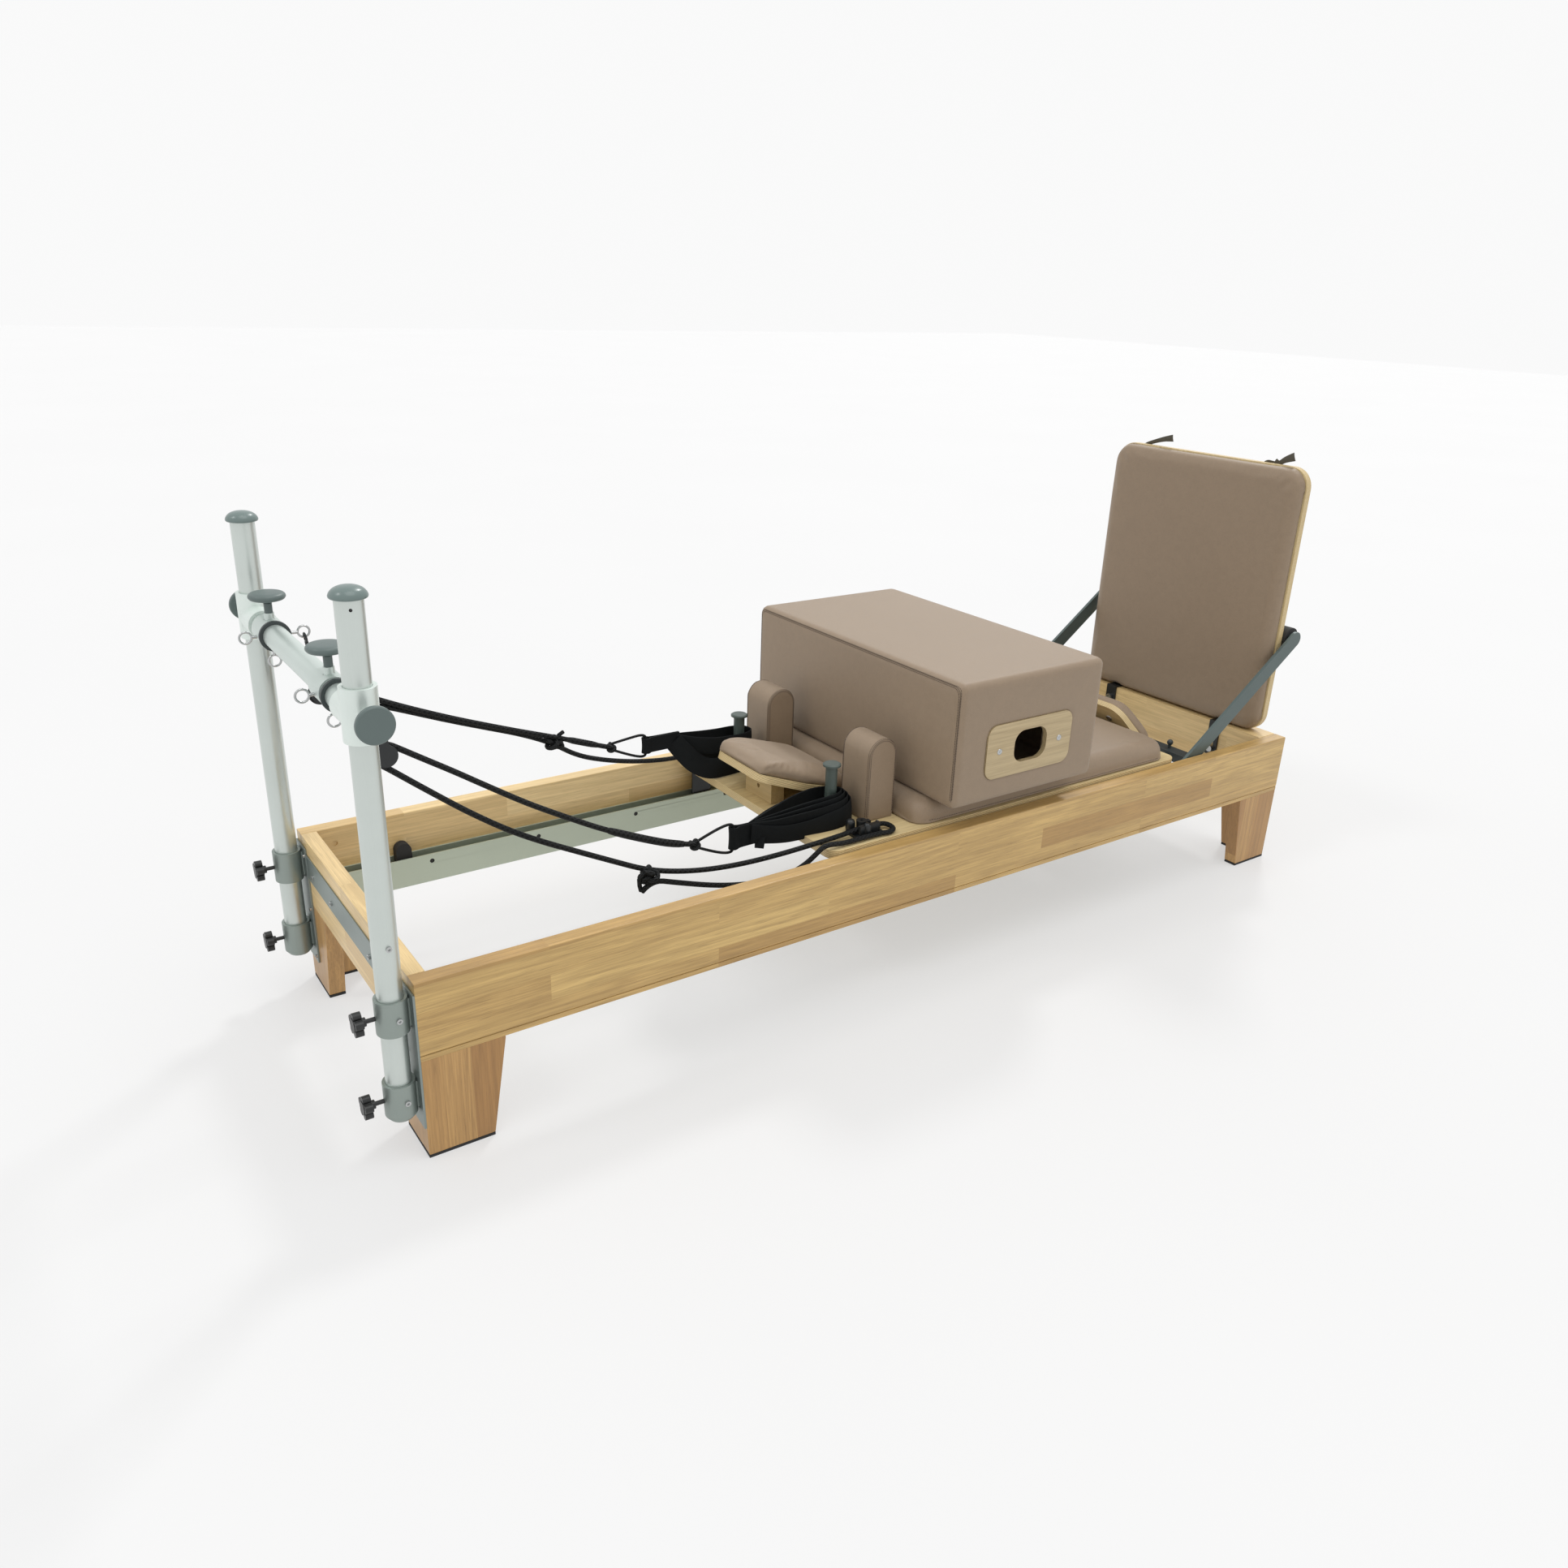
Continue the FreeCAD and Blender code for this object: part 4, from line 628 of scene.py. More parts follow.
FAR_OVER_PULLEY = [
    (253, 195, 619), (214, 197, 635), (160, 200, 659), (112, 203, 682.5), (83, 205, 696.5), (45.1, 205, 714.1),
    (31.5, 205, 710.5), (23.7, 205, 698.8), (25.6, 205, 684.8), (36.2, 205, 675.6), (66, 204.5, 674.5),
    (104, 202, 668), (150, 201.5, 651), (178, 203, 640.5), (206, 203.8, 629),
]
FAR_TO_STRAP = [
    (253, 195, 619), (292, 193, 603), (370, 190, 574), (440, 187, 549), (520, 184, 522), (590, 182, 496),
    (641, 182, 478),
]
FAR_LOOP = [
    (641, 185, 482), (690, 183, 489), (730, 182, 493), (738, 182, 479), (737, 182, 450), (731, 182, 436),
    (691, 181, 450), (646, 180, 472),
]
FAR_TO_CLEAT = [
    (206, 203.8, 629), (240, 204.2, 615), (300, 202.2, 591.5), (370, 199.2, 566), (440, 196, 541), (508, 192, 510),
    (570, 200, 466), (640, 216, 436), (720, 234, 410), (800, 251, 391), (880, 266, 380), (950, 278, 378),
    (1000, 284, 379), (1058, 284, 377),
]
ROPE_RADIUS = 0.0055
LOOP_RADIUS = 0.003
# Each stretch lists the body at its start, the body at its end, and two places along X; each piece is baked where it
# lies.
TOWER_SPAN = ("riser", "bed", 0.060, 0.200)
STRAP_SPAN = ("bed", "carriage", 0.262, 0.636)
CLEAT_SPAN = ("bed", "carriage", 0.215, 0.850)


def stretch(obj, first, second, start, end):
    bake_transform(obj)


def knot_lobes(place, size, turn, thick):
    """A small overhand knot drawn tight at a place in millimetres, as a closed tube in three lobes."""
    spin = Matrix.Rotation(turn, 3, "Z") @ Matrix.Rotation(0.6, 3, "X")
    line = []
    for t in (TURN * i / 72 for i in range(72)):
        reach = 2 + cos(3 * t)
        lobe = Vector((reach * cos(2 * t), reach * sin(2 * t), 1.5 * sin(3 * t)))
        line.append(bed_mm(place) + spin @ (lobe * (size / 3.1)))
    return tube("part", line, thick, 10, closed=True)


def rope_piece(name, route, span, pieces=(), radius=ROPE_RADIUS):
    """A rope's stretch, named after its side, with the knots that ride on it."""
    line = nurbs_line(route)
    obj = add_piece(name, tube(name, line, radius, 14), ROPE)
    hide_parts("rope_" + name.split("_")[1])
    for piece in (obj, *pieces):
        stretch(piece, *span)


def on_rope(name, *meshes):
    obj = add_piece(name, merge(meshes, name), ROPE)
    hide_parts("rope_knots")
    return obj


def tail(radius, *places):
    return tube("part", [bed_mm(place) for place in places], radius, 10)


def sleeve(route, low, high, radius):
    """A stitched sleeve over part of a rope's line, between two places along X."""
    line = [p for p in nurbs_line(route) if low <= p.x + HEAD <= high]
    return tube("part", line, radius, 14, taper=lambda t: 1.0 - 0.18 * abs(2 * t - 1) ** 8)


near_knot = on_rope("knot_near_strap", knot_lobes((648, -183, 384), 0.0105, 0.4, 0.0043),
                    sleeve(NEAR_TO_STRAP, 0.452, 0.622, 0.0078))
near_bunch = on_rope("knot_near_cleat", knot_lobes((520, -227, 369), 0.0165, 1.0, 0.0052),
                     knot_lobes((510, -226, 360), 0.0120, 2.3, 0.0048),
                     tail(0.0046, (511, -229, 372), (501, -231, 374), (494, -230, 364),
                          (496, -228, 350), (499, -228, 338)))
far_knot = on_rope("knot_far_strap", knot_lobes((646, 182, 476), 0.0105, 0.9, 0.0043),
                   sleeve(FAR_TO_STRAP, 0.535, 0.622, 0.0072))
far_bunch = on_rope("knot_far_cleat", knot_lobes((508, 187, 512), 0.0160, 0.2, 0.0052),
                    knot_lobes((521, 187, 506), 0.0120, 1.9, 0.0048),
                    tail(0.0044, (515, 186, 517), (524, 185, 527), (534, 184, 533)))
far_stop = on_rope("knot_far_end", knot_lobes((1064, 284, 378), 0.0095, 0.5, 0.0045))

ROPES = (
    ("near", NEAR_OVER_PULLEY, NEAR_TO_STRAP, NEAR_LOOP, NEAR_TO_CLEAT, [near_knot], [near_bunch]),
    ("far", FAR_OVER_PULLEY, FAR_TO_STRAP, FAR_LOOP, FAR_TO_CLEAT, [far_knot], [far_bunch, far_stop]),
)
for word, over_pulley, to_strap, loop, to_cleat, strap_knots, cleat_knots in ROPES:
    rope_piece(f"rope_{word}_pulley", over_pulley, TOWER_SPAN)
    rope_piece(f"rope_{word}_strap", to_strap, STRAP_SPAN, strap_knots)
    rope_piece(f"loop_{word}", loop, STRAP_SPAN, radius=LOOP_RADIUS)
    rope_piece(f"rope_{word}_cleat", to_cleat, CLEAT_SPAN, cleat_knots)


# --- hand straps
TAPE_BOW = 0.0012


def smooth_line(controls, steps):
    """A Catmull-Rom line through tuples of numbers."""
    last = len(controls) - 1
    result = []
    for i in range(last):
        picks = [controls[min(max(i + k - 1, 0), last)] for k in range(4)]
        for step in range(steps):
            t = step / steps
            weights = (-0.5 * t + t * t - 0.5 * t ** 3, 1 - 2.5 * t * t + 1.5 * t ** 3,
                       0.5 * t + 2 * t * t - 1.5 * t ** 3, -0.5 * t * t + 0.5 * t ** 3)
            result.append(tuple(sum(w * p[n] for w, p in zip(weights, picks)) for n in range(len(controls[0]))))
    result.append(tuple(controls[-1]))
    return result


def ribbon(controls, thickness=0.0026, across=6, hang=UP):
    """A tape through (x, y, z, width, lean): lean is the angle that its upper edge turns out from hang."""
    rows = [(*(value / THOUSAND for value in row[:4]), row[4]) for row in controls]
    rows = smooth_line(rows, 8)
    points = [bed(*row[:3]) for row in rows]
    travel = travel_along(points)
    verts, faces, uvs = [], [], []
    for (*_, width, lean), point, (tangent, _, _) in zip(rows, points, frames_along(points)):
        up = (hang - tangent * hang.dot(tangent)).normalized()
        up = up * cos(lean) + tangent.cross(up).normalized() * sin(lean)
        out = tangent.cross(up).normalized()
        for k in range(across + 1):
            v = k / across - 0.5
            verts.append(point + up * (width * v) + out * (TAPE_BOW * (1 - 4 * v * v)))
    for i, (u0, u1) in enumerate(zip(travel, travel[1:])):
        for k in range(across):
            low, high = i * (across + 1) + k, (i + 1) * (across + 1) + k
            faces.append((low, low + 1, high + 1, high))
            v0, v1 = rows[i][3] * k / across, rows[i][3] * (k + 1) / across
            uvs += [(u0, v0), (u0, v1), (u1, v1), (u1, v0)]
    holder = placed("tape", mesh_from("tape", verts, faces, uvs=uvs))
    modify(holder, "thick", "SOLIDIFY", thickness=thickness, offset=0.0)
    modify(holder, "edge", "BEVEL", width=thickness * 0.3, segments=2, limit_method="ANGLE")
    return baked(holder, "tape", remove=True)


def hem_loop(x_low, x_high, y, z_low, z_high, half=8.5):
    """The doubled end of a strap: the tape turns back round the rope, so its end is a round tunnel."""
    middle, width = (z_low + z_high) / 2, z_high - z_low
    turn = x_low + half + 0.6
    side = [(x_high, 2.2), (x_low + 3.2 * half, 3.4), (turn + half * 0.75, half * 0.92), (turn, half * 1.08),
            (turn - half * 0.8, half * 0.62)]
    controls = [(x, y - out) for x, out in side] + [(turn - half, y)] + [(x, y + out) for x, out in side[::-1]]
    return ribbon([(*place, middle, width, 0) for place in controls])


# Strap bands, from the sewn end round the peg and back: X, Y, Z and width in millimetres, and lean in radians.
near_strap = [
    hem_loop(732, 796, -182, 352, 402),
    # the wide front band, which hangs in front of the deck's edge
    ribbon([
        (782, -189, 379, 44, 0), (812, -206, 377, 43, 0.1), (852, -220, 375, 43, 0.16), (900, -229, 378, 43, 0.1),
        (950, -233, 384, 43, -0.05), (996, -230, 389, 44, -0.12), (1026, -213, 392, 46, -0.1),
        (1037, -184, 392, 46, 0), (1024, -155, 392, 46, 0.1), (992, -139, 391, 46, 0.1), (946, -138, 391, 46, 0.1),
        (896, -146, 390, 46, 0.1), (846, -158, 387, 46, 0.05), (800, -174, 382, 46, 0), (782, -179, 378, 46, 0),
    ]),
    # slimmer bands above it, each closer to the peg
    ribbon([
        (784, -187, 384, 38, 0), (830, -205, 390, 39, 0.25), (880, -218, 397, 40, 0.3), (935, -226, 401, 40, 0.2),
        (988, -224, 403, 40, 0.05), (1019, -208, 404, 40, 0), (1030, -184, 404, 40, 0), (1019, -160, 404, 40, 0),
        (988, -145, 403, 40, 0), (935, -145, 401, 40, 0), (880, -155, 397, 40, 0), (830, -170, 391, 39, 0),
        (784, -181, 385, 38, 0),
    ]),
    ribbon([
        (788, -186, 387, 34, 0), (836, -200, 397, 36, 0.3), (888, -211, 406, 37, 0.35), (940, -218, 411, 37, 0.2),
        (984, -217, 412, 37, 0.05), (1013, -203, 412, 37, 0), (1023, -184, 412, 37, 0), (1013, -165, 412, 37, 0),
        (984, -152, 412, 37, 0), (940, -152, 411, 37, 0), (888, -161, 406, 37, 0), (836, -173, 398, 36, 0),
        (788, -181, 388, 34, 0),
    ]),
    ribbon([
        (796, -185, 391, 30, 0), (846, -195, 404, 32, 0.3), (898, -205, 415, 33, 0.35), (946, -211, 419, 33, 0.2),
        (982, -210, 419, 33, 0.05), (1007, -199, 418, 33, 0), (1016, -184, 418, 33, 0), (1007, -170, 418, 33, 0),
        (982, -159, 418, 33, 0), (946, -159, 418, 33, 0), (898, -166, 414, 33, 0), (846, -175, 404, 32, 0),
        (796, -182, 392, 30, 0),
    ]),
    # a cut end that hangs below the join
    ribbon([
        (800, -196, 370, 30, 1.35), (797, -200, 360, 30, 1.4), (793, -204, 349, 29, 1.45),
    ], hang=Vector((0.9, 0.1, 0.3))),
]
far_strap = [
    hem_loop(726, 822, 182, 447, 483),
    ribbon([
        (806, 178, 462, 46, 0), (822, 166, 440, 47, -0.1), (846, 152, 412, 48, -0.25), (880, 143, 393, 48, -0.3),
        (925, 140, 390, 47, -0.1), (972, 140, 391, 46, 0), (1012, 148, 392, 46, 0), (1034, 170, 392, 46, 0),
        (1034, 200, 392, 46, 0), (1012, 222, 392, 46, 0), (966, 229, 392, 46, 0), (918, 228, 391, 46, 0.1),
        (872, 222, 398, 46, 0.1), (838, 204, 424, 46, 0.1), (812, 187, 456, 44, 0),
    ]),
    ribbon([
        (812, 182, 460, 38, 0), (850, 166, 450, 39, 0), (900, 158, 441, 40, 0), (950, 156, 438, 40, 0),
        (990, 157, 438, 40, 0), (1014, 170, 438, 40, 0), (1018, 187, 438, 40, 0), (1010, 204, 438, 40, 0),
        (984, 213, 438, 40, 0), (940, 212, 439, 40, 0), (890, 207, 444, 40, 0), (845, 195, 453, 39, 0),
        (812, 184, 460, 38, 0),
    ]),
]
for side, parts in (("near", near_strap), ("far", far_strap)):
    strap = add_piece("strap_" + side, merge(parts, "strap_" + side), WEBBING, "carriage")
    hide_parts("hand_strap_" + side)


# --- springs
SPRING_Z, SPRING_FROM, SPRING_TO, SPRING_RADIUS, SPRING_TURNS, SPRING_STEP = 0.330, 1.570, 2.050, 0.0105, 70, 0.120
HOOK = [(0, 0), (0.006, 0.004), (0.013, 0), (0.016, -0.008)]  # a hook's reach from its end, and its height


def spring_line(y):
    """A hooked extension spring along X."""
    line = [bed(SPRING_FROM + reach, y, SPRING_Z + rise) for reach, rise in HOOK]
    low, high = SPRING_FROM + 0.022, SPRING_TO - 0.022
    count = SPRING_TURNS * 14
    for i in range(count + 1):
        angle = TURN * SPRING_TURNS * i / count - pi / 2
        line.append(bed(low + (high - low) * i / count, y + SPRING_RADIUS * cos(angle),
                        SPRING_Z + SPRING_RADIUS * sin(angle)))
    return line + [bed(SPRING_TO - reach, y, SPRING_Z + rise) for reach, rise in HOOK[::-1]]


coils = [tube("part", spring_line(SPRING_STEP * step), 0.0019, 6) for step in range(-2, 3)]
springs = add_piece("spring_coils", merge(coils, "spring_coils"), STEEL)
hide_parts("springs")
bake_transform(springs)


# --- upholstery
def soft_copy(name, node, voxel, rounds):
    """A CAD pad's own surface as even quads, with its edges rounded over."""
    holder = placed(name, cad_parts[node].data.copy())
    modify(holder, "quads", "REMESH", mode="VOXEL", voxel_size=voxel)
    modify(holder, "round", "SMOOTH", factor=0.5, iterations=rounds)
    return baked(holder, name, remove=True)


def walls_of(node, base, side, other):
    """The straight sides of a CAD pad's outline, as points and inward normals, and the outline's middle."""
    flat = [Vector(((v.co - base).dot(side), (v.co - base).dot(other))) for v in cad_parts[node].data.vertices]
    hull = [flat[i] for i in convex_hull_2d(flat)]
    middle = sum(hull, Vector((0, 0))) / len(hull)
    walls = []
    for a, b in sorted(zip(hull, hull[1:] + hull[:1]), key=lambda pair: -(pair[1] - pair[0]).length):
        edge = (b - a).normalized()
        normal = Vector((-edge.y, edge.x))
        if normal.dot(middle - a) < 0:
            normal.negate()
        if (b - a).length > 0.001 and all(normal.dot(kept) < 0.9 for _, kept in walls):
            walls.append((a, normal))
    return walls, middle


def dome(mesh, node, base, up, rim, low):
    """Let a pad's thickness fall along a quarter ellipse within rim of its outline, to the fraction low of it."""
    side = up.orthogonal().normalized()
    other = up.cross(side)
    walls, middle = walls_of(node, base, side, other)
    blur = 0.24 * rim
    for vertex in mesh.vertices:
        point = Vector(((vertex.co - base).dot(side), (vertex.co - base).dot(other)))
        inside = -blur * log(sum(exp(-(point - a).dot(normal) / blur) for a, normal in walls))
        if inside < 0:
            away = (middle - point).normalized() * -inside
            vertex.co += side * away.x + other * away.y
        if inside < rim:
            gap = 1 - max(0.0, inside) / rim
            height = (vertex.co - base).dot(up)
            vertex.co -= up * (height * (1 - low) * (1 - sqrt(1 - gap * gap)))


PUFF = 0.003  # the furthest that the cloth may move
HELD = 0.004  # the height over its board below which a cover is held
CLOTH_FRAMES = 14
CLOTH = {"quality": 4, "mass": 0.3, "tension_stiffness": 12, "compression_stiffness": 12, "bending_stiffness": 2,
         "use_pressure": True, "uniform_pressure_force": 4, "vertex_group_mass": "held"}


def puff(mesh, base, up, name):
    """Cloth under pressure, held where it rests on its board."""
    held = [v.index for v in mesh.vertices if (v.co - base).dot(up) < HELD]
    rest = [v.co.copy() for v in mesh.vertices]
    obj = placed(name, mesh)
    obj.vertex_groups.new(name="held").add(held, 1.0, "REPLACE")
    cloth = modify(obj, "cloth", "CLOTH")
    for key, value in CLOTH.items():
        setattr(cloth.settings, key, value)
    cloth.settings.effector_weights.gravity = 0
    cloth.point_cache.frame_start = 1
    cloth.point_cache.frame_end = CLOTH_FRAMES
    for number in range(1, CLOTH_FRAMES + 1):
        scene.frame_set(number)
    result = baked(obj, name, remove=True)
    scene.frame_set(1)
    for vertex, old in zip(result.vertices, rest):
        move = vertex.co - old
        if move.length > PUFF:
            vertex.co = old + move * (PUFF / move.length)
    return result


def upholster(name, node, body, voxel, rounds, base=None, up=UP, rim=0.0, low=0.0):
    """A padded piece from its CAD solid. With a base, it is also domed down to its rim and puffed by cloth."""
    mesh = soft_copy(name, node, voxel, rounds)
    if base is not None:
        dome(mesh, node, base, up, rim, low)
        mesh = puff(mesh, base, up, name)
    mesh.shade_smooth()
    obj = add_piece(name, mesh, LEATHER, body)
    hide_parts(node)
    return obj


def on_surface(obj, line, lift):
    """Points moved to the nearest place on a piece, and raised by lift."""
    tree = BVHTree.FromPolygons([v.co for v in obj.data.vertices], [p.vertices for p in obj.data.polygons])
    result = []
    for point in line:
        place, normal, _, _ = tree.find_nearest(point)
        result.append(place + normal * lift)
    return result


def along_line(first, last, step=0.012):
    count = max(2, round((last - first).length / step))
    return [first.lerp(last, i / count) for i in range(count + 1)]


def stitched(name, cover, lines, body, pitch, length, radius=0.0007, seams=()):
    """Rows of thread stitches that lie on a cover, and dark beads along the seams beside them, which are painted
    shade in the seams' creases.
    """
    parts = []
    for line in lines:
        line = on_surface(cover, line, 0.0003)
        gaps = [(b - a).length for a, b in zip(line, line[1:])]
        total, travel = sum(gaps), 0.0
        while travel + length < total:
            ends = []
            for offset in (travel, travel + length):
                index = 0
                while index < len(gaps) - 1 and offset > gaps[index]:
                    offset -= gaps[index]
                    index += 1
                ends.append(line[index].lerp(line[index + 1], offset / gaps[index]))
            parts.append(tube("part", [ends[0], ends[0].lerp(ends[1], 0.5), ends[1]], radius, 5))
            travel += pitch
    add_piece(name, merge(parts, name), THREAD, body)
    if seams:
        # A seam is a thin dark bead on the cover: painted shade in its crease.
        lines = [tube("part", on_surface(cover, line, 0.0), 0.0008, 6) for line in seams]
        add_piece(name + "_seam", merge(lines, name), SEAM_SHADE, body)


def round_board(name, node, material, body, through, radius, above=0.0):
    """A CAD board with its corners above a level rounded: the edges through its thickness are bevelled."""
    work = bmesh.new()
    work.from_mesh(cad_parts[node].data)
    bmesh.ops.remove_doubles(work, verts=work.verts, dist=0.00005)
    bmesh.ops.dissolve_limit(work, angle_limit=0.01, verts=work.verts, edges=work.edges)
    chosen = [e for e in work.edges if abs((e.verts[0].co - e.verts[1].co).normalized().dot(through)) > 0.99
              and e.verts[0].co.z > above]
    bmesh.ops.bevel(work, geom=chosen, offset=radius, segments=7, profile=0.5, affect="EDGES", clamp_overlap=True)
    mesh = bpy.data.meshes.new(name)
    work.to_mesh(mesh)
    work.free()
    obj = add_piece(name, mesh, material, body)
    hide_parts(node)
    return obj


LUG_TOP = 0.40
stop_foot = bed(2.000, 0, 0.347)
BOARD = 0.016
round_board("board_headrest", "headrest_board", PLY_HEADREST, "headrest", headrest_up, 0.026)
round_board("board_stop", "foot_stop_board", PLY_STOP, "carriage", stop_up, 0.030, LUG_TOP)
pad_carriage = upholster("pad_carriage", "carriage_pad", "carriage", 0.006, 10, bed(0, 0, 0.364), UP, 0.034, 0.50)
upholster("pad_headrest", "headrest_pad", "headrest", 0.0045, 16, bed(1.102, 0, 0.372) + headrest_up * BOARD,
          headrest_up, 0.046, 0.34)
upholster("pad_stop", "foot_stop_pad", "carriage", 0.0045, 14, stop_foot + stop_up * BOARD, stop_up, 0.040, 0.36)
upholster("pad_jump", "jump_board_pad", "jump_board", 0.006, 8, bed(2.365, 0, 0.7), Vector((-1, 0, 0)), 0.030, 0.45)
pad_shoulders = upholster("pad_shoulders", "shoulder_rests", "carriage", 0.004, 5)
box = upholster("box_cover", "box_body", "sitting_box", 0.006, 2)

# The box's seam runs over its head end's top edge and down that face's two upright edges.
BOX_HEAD, BOX_HALF, BOX_TOP, BOX_LOW, CORNER = 1.171, 0.3785, 0.697, 0.414, 0.016


def box_row(inset):
    """A line round the head face of the box, inset from its edges, up one side, across and down the other."""
    y, z, low = BOX_HALF - inset, BOX_TOP - inset, BOX_LOW + 0.02
    up = along_line(bed(BOX_HEAD, y, low), bed(BOX_HEAD, y, z - CORNER))
    over = along_line(bed(BOX_HEAD, y - CORNER, z), bed(BOX_HEAD, CORNER - y, z))
    down = along_line(bed(BOX_HEAD, -y, z - CORNER), bed(BOX_HEAD, -y, low))
    turn = [bed(BOX_HEAD, side * (y - CORNER + CORNER * cos(a)), z - CORNER + CORNER * sin(a))
            for side, angles in ((1, (0.5, 1.0)), (-1, (1.0, 0.5))) for a in angles]
    return up + turn[:2] + over + turn[2:] + down


stitched("box_stitches", box, [box_row(0.011), box_row(0.004)], "sitting_box", 0.0058, 0.0038,
         seams=[box_row(0.0075)])

# Each shoulder rest has a seam round both of its arched faces.
REST_HEAD, REST_FOOT, REST_TOP = 1.048, 1.124, 0.552
REST_FACES = (0.146, 0.241)
PAD_LOW = 0.376


def arch_row(y, inset):
    reach = (REST_FOOT - REST_HEAD) / 2
    half, middle, centre = reach - inset, (REST_FOOT + REST_HEAD) / 2, REST_TOP - reach
    arch = [bed(middle - half * cos(a), y, centre + half * sin(a))
            for a in (pi * k / 16 for k in range(17))]
    rise = along_line(bed(middle - half, y, PAD_LOW), arch[0])
    return rise[:-1] + arch + along_line(arch[-1], bed(middle + half, y, PAD_LOW))[1:]


rest_rows, rest_seams = [], []
for side in (-1, 1):
    for face, inward in zip(REST_FACES, (1, -1)):
        rest_rows += [arch_row(side * face, 0.0045), arch_row(side * (face + inward * 0.0045), 0.0)]
        rest_seams.append(arch_row(side * (face + inward * 0.0008), 0.0008))
stitched("shoulder_stitches", pad_shoulders, rest_rows, "carriage", 0.0056, 0.0037, seams=rest_seams)
pad_rows = [along_line(bed(1.165, side * 0.319, 0.372), bed(1.930, side * 0.319, 0.372)) for side in (-1, 1)]
stitched("pad_stitches", pad_carriage, pad_rows, "carriage", 0.0070, 0.0045, 0.0006)


# --- turned pieces and small fittings
def lathe(profile, at, axis=UP, sides=36, smooth=True):
    """A turned solid: profile is pairs of radius and height along the axis, in millimetres, from the place at."""
    rows = smooth_line(profile, 4) if smooth else profile
    side = axis.orthogonal().normalized()
    ways = circle(side, axis.cross(side), sides)
    verts = [at + axis * (height / THOUSAND) + way * (max(radius, 0.05) / THOUSAND)
             for radius, height in rows for way in ways]
    return mesh_from("turned", verts, ring_faces(len(rows), sides))


def fittings(name, meshes, material, body, node=None):
    obj = add_piece(name, merge(meshes, name), material, body)
    if node:
        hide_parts(node)


def across(side):
    return Vector((0, side, 0))


POST_X, POST_Y = -0.032, 0.331
CAP_PROFILE = [(17, -20), (17.8, -10), (17.8, -0.5), (26.2, 0), (28.8, 2.2), (28.6, 5.5), (26.2, 9.8), (21.5, 14.2),
               (14, 17.5), (6, 18.9), (0, 19.2)]
fittings("cap_domes", [lathe(CAP_PROFILE, bed(POST_X, side * POST_Y, 1.007)) for side in (-1, 1)], CAP, "bed",
         "post_caps")

THREADS = [(6.8 + 0.9 * (k % 2), 16 + 1.25 * k) for k in range(33)]
KNOB_PROFILE = [(8.5, 57), (9, 61.5), (22, 61.8), (29, 63), (32.2, 66), (33, 69), (31.8, 72.2), (28.5, 74.8),
                (22, 76.2), (10, 76.8), (0, 77)]
for word, y in (("near", -0.176), ("far", 0.205)):
    foot = bed(POST_X, y, 0.823)
    fittings("knob_" + word, [lathe(THREADS, foot, smooth=False), lathe(KNOB_PROFILE, foot)], GREY_KNOB,
             "collar_knob_" + word, "collar_knob_" + word)

SCREW_PROFILE = [(7, -0.5), (7, 0.6), (5.2, 1.5), (2.2, 1.7), (1.8, 0.6), (0, 0.4)]
fittings("grip_screws", [lathe(SCREW_PROFILE, bed(x, side * 0.3805, 0.530), across(side), 24, False)
                         for x in (1.294, 1.476) for side in (-1, 1)], STEEL, "sitting_box")
BOLT_PROFILE = [(9.5, -0.5), (9.5, 1.4), (7, 2.6), (2.8, 2.8), (2.4, 1.4), (0, 1.2)]
fittings("stop_bolts", [lathe(BOLT_PROFILE, stop_foot + across(side * y) + stop_along * rise, -stop_up, 24, False)
                        for y, rise in ((0.117, 0.073), (0.196, 0.010)) for side in (-1, 1)],
         STEEL, "carriage")
PLUG_PROFILE = [(4.9, -1.5), (4.9, 0.4), (3.6, 0.8), (0, 0.9)]
PLUG_PLACES = (0.259, 0.512, 0.766, 1.022, 1.276, 1.530, 1.786, 2.040)
fittings("track_plugs", [lathe(PLUG_PROFILE, bed(x, side * 0.2935, 0.245), across(-side), 20, False)
                         for x in PLUG_PLACES for side in (-1, 1)], PLUG_AND_HOLE_SHADE, "bed")
# Each hole in a post is a thin black disc on its surface: painted shade.
HOLE_SHADE_PROFILE = [(2.6, -1), (2.6, 0.25), (0, 0.3)]
outward = Vector((-0.2, 0.98, 0)).normalized()
ways = [Vector((outward.x, side * outward.y, 0)) for side in (-1, 1)]
fittings("post_hole_shade", [lathe(HOLE_SHADE_PROFILE, bed(POST_X, copysign(POST_Y, way.y), 0.993) + way * 0.022, way,
                              20, False) for way in ways], PLUG_AND_HOLE_SHADE, "bed")

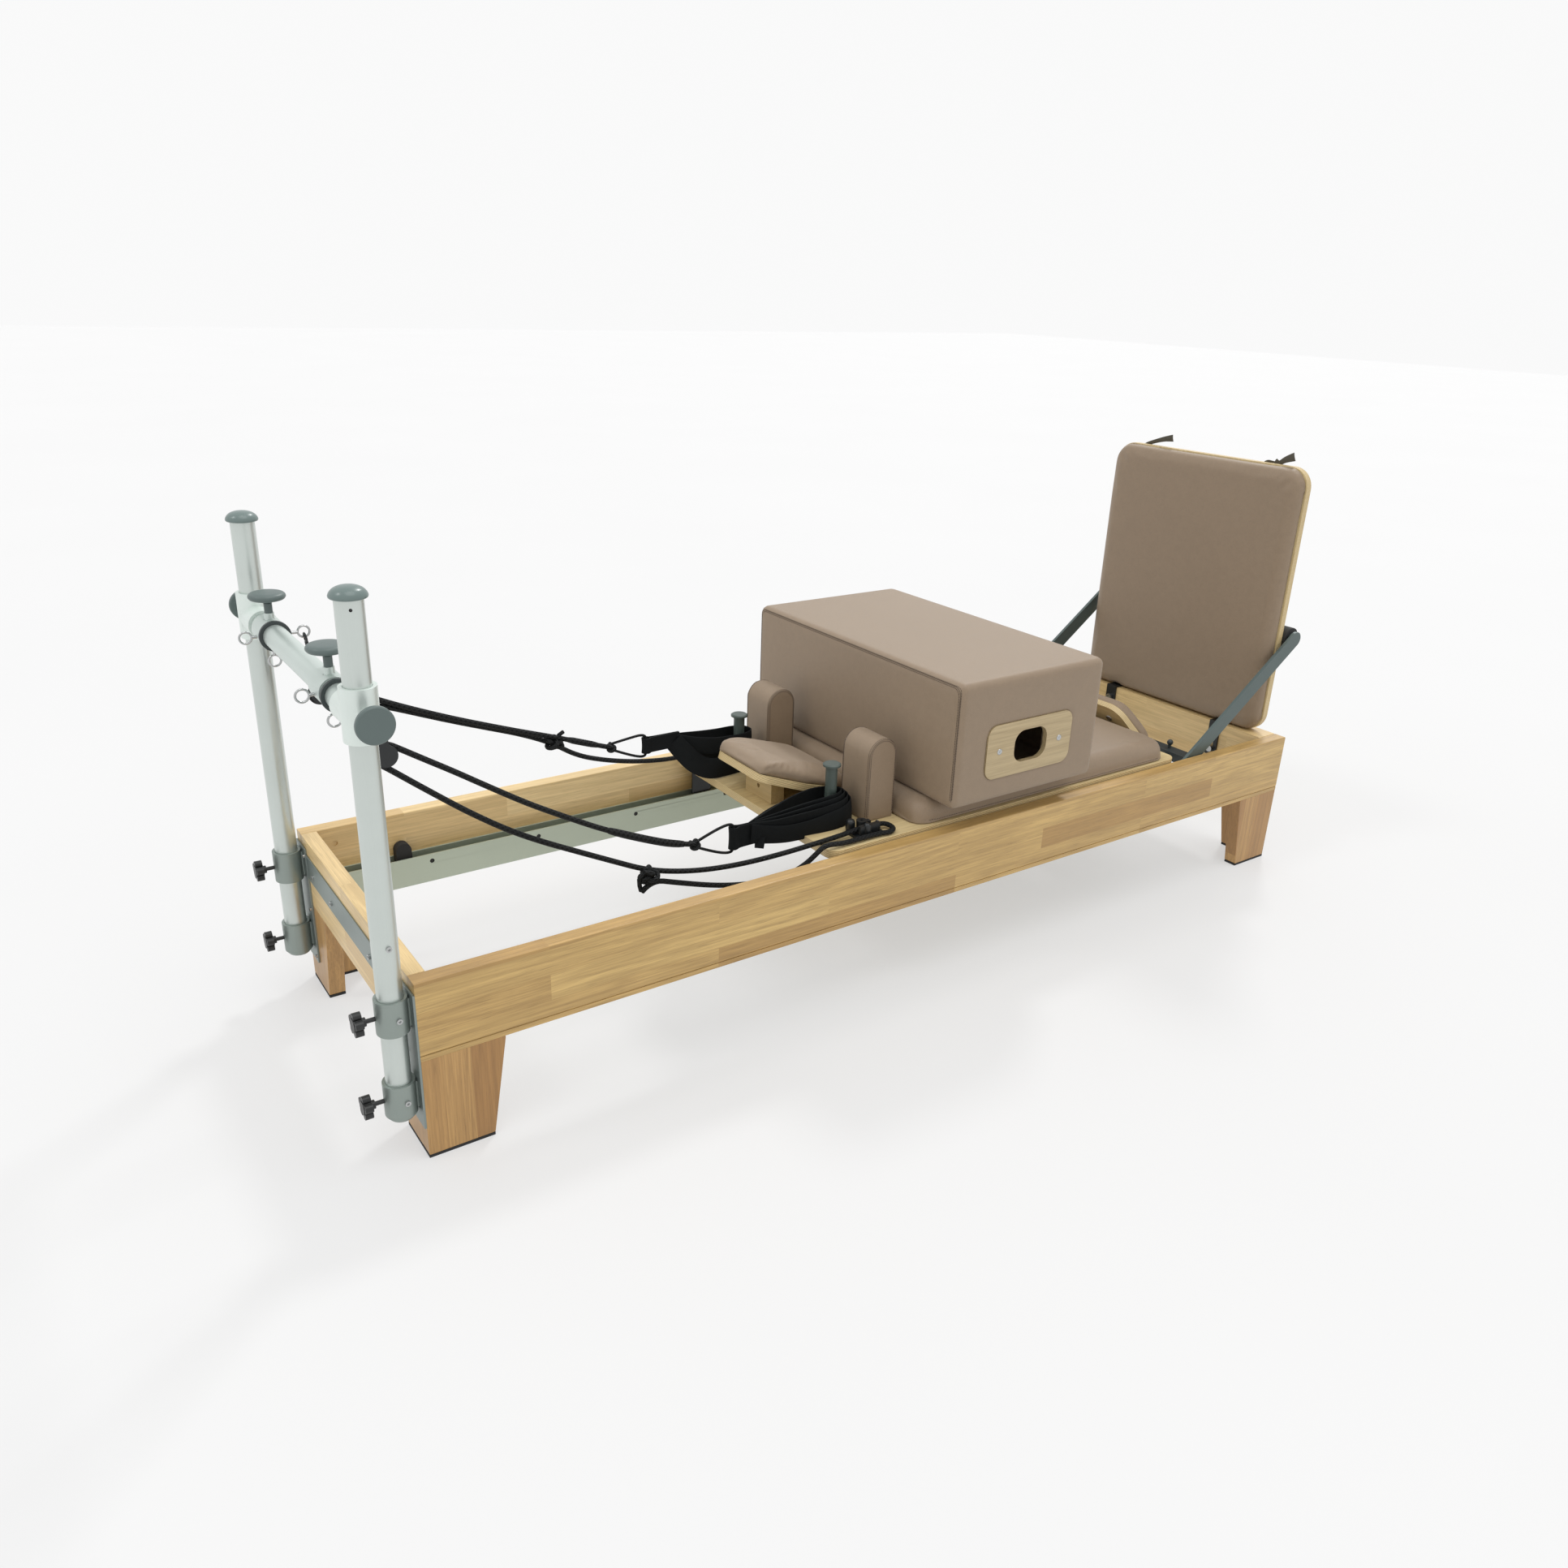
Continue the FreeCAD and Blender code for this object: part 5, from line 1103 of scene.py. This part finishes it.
# Each cleat has two domed rollers beside the rope, and a bright ring and lever at its foot end.
ROLLER_PROFILE = [(0.90, 0.0), (1.0, 0.10), (1.0, 0.62), (0.86, 0.86), (0.5, 0.98), (0.0, 1.0)]
ROLLERS = ((1.006, 0.2985, 8.5, 26), (0.990, 0.2600, 10.5, 24))  # X and Y, and radius and height in millimetres
for side, word in ((-1, "near"), (1, "far")):
    fittings("cleat_rollers_" + word, [lathe([(r * size, h * tall) for r, h in ROLLER_PROFILE],
                                             bed(x, side * y, 0.3695), sides=24) for x, y, size, tall in ROLLERS],
             BLACK, "carriage")
    loop = [bed(1.046, side * 0.284, 0.378) + Vector((0, 0.0082 * cos(a), 0.0082 * sin(a)))
            for a in (TURN * k / 20 for k in range(20))]
    lever = [bed(x, side * y, z) for x, y, z in ((1.046, 0.277, 0.376), (1.056, 0.272, 0.371), (1.064, 0.270, 0.367))]
    fittings("cleat_ring_" + word, [tube("part", loop, 0.0014, 8, closed=True), tube("part", lever, 0.0014, 8)],
             STEEL, "carriage")

# Fabric ties that hold a cover to the jump board, knotted behind its top edge: X, Y, Z and width in millimetres.
TIES = (
    [(2386, 246, 1048, 9, 0.3), (2384, 225, 1060, 10, 0.4), (2383, 198, 1070, 11, 0.3), (2382, 168, 1079, 14, 0.2),
     (2380, 138, 1085, 19, 0.1)],
    [(2386, -150, 1048, 9, 0.3), (2384, -168, 1060, 11, 0.4), (2383, -186, 1062, 8, 0.6), (2383, -200, 1060, 10, 0.3),
     (2381, -222, 1073, 16, 0.1), (2380, -246, 1083, 22, 0.0)],
    [(2386, -190, 1048, 10, 0.0), (2383, -194, 1062, 11, 0.2), (2382, -199, 1070, 9, 0.4)],
)
fittings("board_ties", [ribbon(tie, 0.0016, 4) for tie in TIES], TIE, "jump_board")


# --- finish
FLOOR = 30
white = Graph("floor_white", 0.75)
white_tone = white.noise(white.place, 0.7, 2)
corners = [(FLOOR * x, FLOOR * y, 0) for x, y in ((-1, -1), (1, -1), (1, 1), (-1, 1))]
floor_mesh = mesh_from("floor", corners, [(0, 1, 2, 3)], smooth=False)
white.fill(white.shader, {"Emission Color": (1, 1, 1, 1), "Emission Strength": 0.475, "Specular IOR Level": 0.1})
floor = add_piece("floor", floor_mesh, white.finish(white.mix(white_tone, grey(0.325), grey(0.31))))
